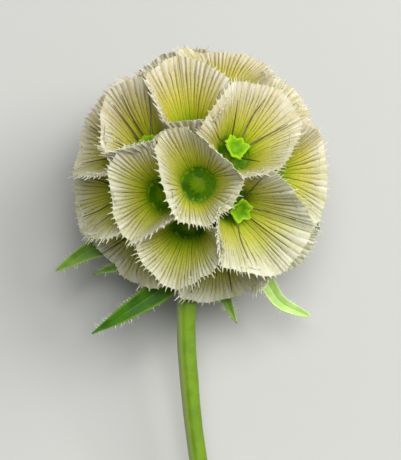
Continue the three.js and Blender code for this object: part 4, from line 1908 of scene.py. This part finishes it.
@dataclass
class Stem:
    """The green stem: faintly ribbed, with a fuzz of short hairs and a plain cut at its end.

    Attributes:
        palette: The finishes.
        top_radius: Its radius under the collar.
        end_radius: Its radius at the cut.
        taper_share: The share of its length over which it tapers.
        rib_depth: How deep its grooves are, as a share of its radius.
        rows: How many stretches there are along it.
        hairs: How many hairs it has.
        hair_radius: Their radius at the root.
        hair_lengths: Their least and greatest length.
        hair_lean: How much they lean towards the cut.
        hair_scatter: How unevenly they point.
        seed: Sets where they grow.
        route: The places of its middle to the right of and along the head's axis.
    """

    palette: Palette
    top_radius: float = 1.52
    end_radius: float = 1.32
    taper_share: float = 0.62
    rib_depth: float = 0.025
    rows: int = 120
    hairs: int = 900
    hair_radius: float = 0.018
    hair_lengths: tuple[float, float] = (0.1, 0.26)
    hair_lean: float = 0.4
    hair_scatter: float = 0.15
    seed: int = 17
    route: tuple[tuple[float, float], ...] = (
        (-0.9, -13.35),
        (-0.93, -14.3),
        (-1.6, -16.6),
        (-2.1, -19.6),
        (-2.2, -26),
        (-1.8, -31.7),
        (-1.3, -37.3),
        (-0.35, -44.5),
        (1.3, -53),
        (3.6, -62),
        (6.6, -72),
        (10.4, -83.35),
    )

    def build(self) -> bpy.types.Object:
        """Builds the stem and its hairs.

        Returns:
            The piece.
        """
        line = smooth_path([(x, y, 0.0) for x, y in self.route], self.rows)
        share = np.linspace(0, 1, self.rows + 1)
        radii = mix(self.top_radius, self.end_radius, np.minimum(1, share / self.taper_share))
        radii = radii * (1 + 0.012 * np.sin(share * 31) + 0.008 * np.sin(share * 77))
        body = tube_along("stem", line, radii, 64, self.palette.stem, ribs=self.rib_depth)
        self.dress_cut(body, line)
        random = np.random.default_rng(self.seed)
        at = random.integers(1, self.rows - 1, self.hairs)
        tangent = unit(np.gradient(line, axis=0))[at]
        side = unit(np.cross(tangent, FACING))
        lift = np.cross(side, tangent)
        turn = random.uniform(0, math.tau, self.hairs)[:, None]
        out = side * np.cos(turn) + lift * np.sin(turn)
        starts = line[at] + out * (radii[at] * 0.95)[:, None]
        scatter = random.normal(0, self.hair_scatter, (self.hairs, 3))
        ways = unit(out + tangent * self.hair_lean + scatter)
        lengths = random.uniform(*self.hair_lengths, self.hairs)[:, None]
        hairs = Hairs("stem_hairs", self.palette.hair, self.hair_radius).build(starts, ways * lengths)
        return join("stem_stalk", [body, hairs])

    def dress_cut(self, body: bpy.types.Object, line: np.ndarray) -> None:
        """Gives the cut face at the stem's end its own finish.

        Args:
            body: The stem.
            line: The points of its middle.
        """
        body.data.materials.append(self.palette.cut)
        end = Vector(HEAD.to_world(line[-1]) * MM)
        way = Vector(unit(HEAD.to_world(line[-1]) - HEAD.to_world(line[-2])))
        for polygon in body.data.polygons:
            if (polygon.center - end).length < self.end_radius * MM and polygon.normal.dot(way) > 0.9:
                polygon.material_index = 1


# The studio.


@dataclass
class Studio:
    """The plain pale floor, the soft lights and the camera.

    Attributes:
        distance: From the camera to where it aims, in millimetres.
        lens: Its focal length.
        aim: Where it aims, right of and above the middle of the head.
        floor_size: The length of the floor's side, in metres.
        sky_strength: How bright the even sky is.
    """

    distance: float = 300.0
    lens: float = 150.8
    aim: tuple[float, float] = (0.0, -8.85)
    floor_size: float = 3.0
    sky_strength: float = 0.22

    def build(self) -> None:
        """Builds the floor, the lights and the camera."""
        self.build_floor()
        self.build_lights()
        self.build_camera()

    def build_floor(self) -> None:
        """A wide floor with a soft mottle."""
        select_only()
        bpy.ops.mesh.primitive_plane_add(size=self.floor_size, location=(0, 0, 0))
        floor = bpy.context.object
        floor.name = "floor"
        material, nodes = new_material("pale_floor")
        mottle = nodes.rise(nodes.noise(nodes.place(), 4.0), 0.3, 0.7)
        colour = nodes.blend(mottle, srgb(186, 186, 184), srgb(191, 191, 188))
        nodes.surface(nodes.add("ShaderNodeBsdfPrincipled", {"Base Color": colour, "Roughness": 0.85}))
        floor.data.materials.append(material)

    def build_lights(self) -> None:
        """A large soft key light from the right, a fill from above and an even sky."""
        self.add_light("key", offset=(460.0, 180.0, 520.0), size=420.0, power=3.9, colour=(1.0, 0.99, 0.96))
        self.add_light("fill", offset=(60.0, 60.0, 660.0), size=360.0, power=3.5, colour=(0.99, 1.0, 0.98))
        world = bpy.data.worlds.new("studio")
        bpy.context.scene.world = world
        world.use_nodes = True
        nodes = Nodes(world.node_tree)
        sky = nodes.add("ShaderNodeBackground", {"Color": (0.96, 0.98, 1.0), "Strength": self.sky_strength})
        nodes.add("ShaderNodeOutputWorld", {"Surface": sky.outputs[0]})

    def add_light(self, name: str, offset: Point, size: float, power: float, colour: Colour) -> None:
        """Adds a square light that looks at the head.

        Args:
            name: The light's name.
            offset: Its place from the middle of the head in the row frame, in millimetres.
            size: The length of its side, in millimetres.
            power: In watts.
            colour: Its colour.
        """
        light = bpy.data.lights.new(name, "AREA")
        light.shape = "SQUARE"
        light.size = size * MM
        light.energy = power
        light.color = colour
        lamp = bpy.data.objects.new(name, light)
        bpy.context.scene.collection.objects.link(lamp)
        lamp.location = (Vector(HEAD.centre) + Vector(offset)) * MM
        lamp.rotation_euler = (-Vector(offset)).to_track_quat("-Z", "Y").to_euler()

    def build_camera(self) -> None:
        """A camera that looks square at the flower's axis from above."""
        camera = bpy.data.cameras.new("camera")
        camera.lens = self.lens
        camera.sensor_width = 36.0
        camera.sensor_fit = "AUTO"
        camera.clip_start = 0.01
        camera.clip_end = 10.0
        eye = bpy.data.objects.new("camera", camera)
        bpy.context.scene.collection.objects.link(eye)
        cos, sin = math.cos(HEAD.lean), math.sin(HEAD.lean)
        right, up, back = Vector((1, 0, 0)), Vector((0, cos, sin)), Vector((0, -sin, cos))
        target = Vector(HEAD.centre) + right * self.aim[0] + up * self.aim[1]
        turn = Matrix((right, up, back)).transposed().to_4x4()
        eye.matrix_world = Matrix.Translation((target + back * self.distance) * MM) @ turn
        bpy.context.scene.camera = eye
        bpy.context.scene.view_settings.view_transform = "Standard"


def report(pieces: Iterable[tuple[bpy.types.Object, Slot, tuple[str, ...]]]) -> None:
    """Puts each piece on its body and logs it.

    Args:
        pieces: Each piece with its slot and the nodes that it stands for.
    """
    for piece, slot, nodes in pieces:
        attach(piece, BODY)
        if nodes:
            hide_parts(*nodes)
        log.info("%s: %d faces", piece.name, len(piece.data.polygons))


def main() -> None:
    """Builds the flower and the studio."""
    logging.basicConfig(level=logging.INFO, format="%(message)s")
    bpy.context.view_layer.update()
    palette = Palette()
    made = [(Receptacle(palette).build(), Slot.CUPS, ("seed_head",))]
    for index, place in enumerate(PLACES):
        made.append((Fruit(place, palette, seed=100 + index).build(), Slot.CUPS, ()))
    made.append((Collar(palette).build(), Slot.BRACTS, ("involucre",)))
    for index, plan in enumerate(BRACT_PLANS):
        made.append((Bract(f"bract_{index + 1}", plan, palette, 300 + index).build(), Slot.BRACTS, ()))
    made.append((Stem(palette).build(), Slot.STEM, ("stem",)))
    report(made)
    Studio().build()
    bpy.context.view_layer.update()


if __name__ == "__main__":
    main()
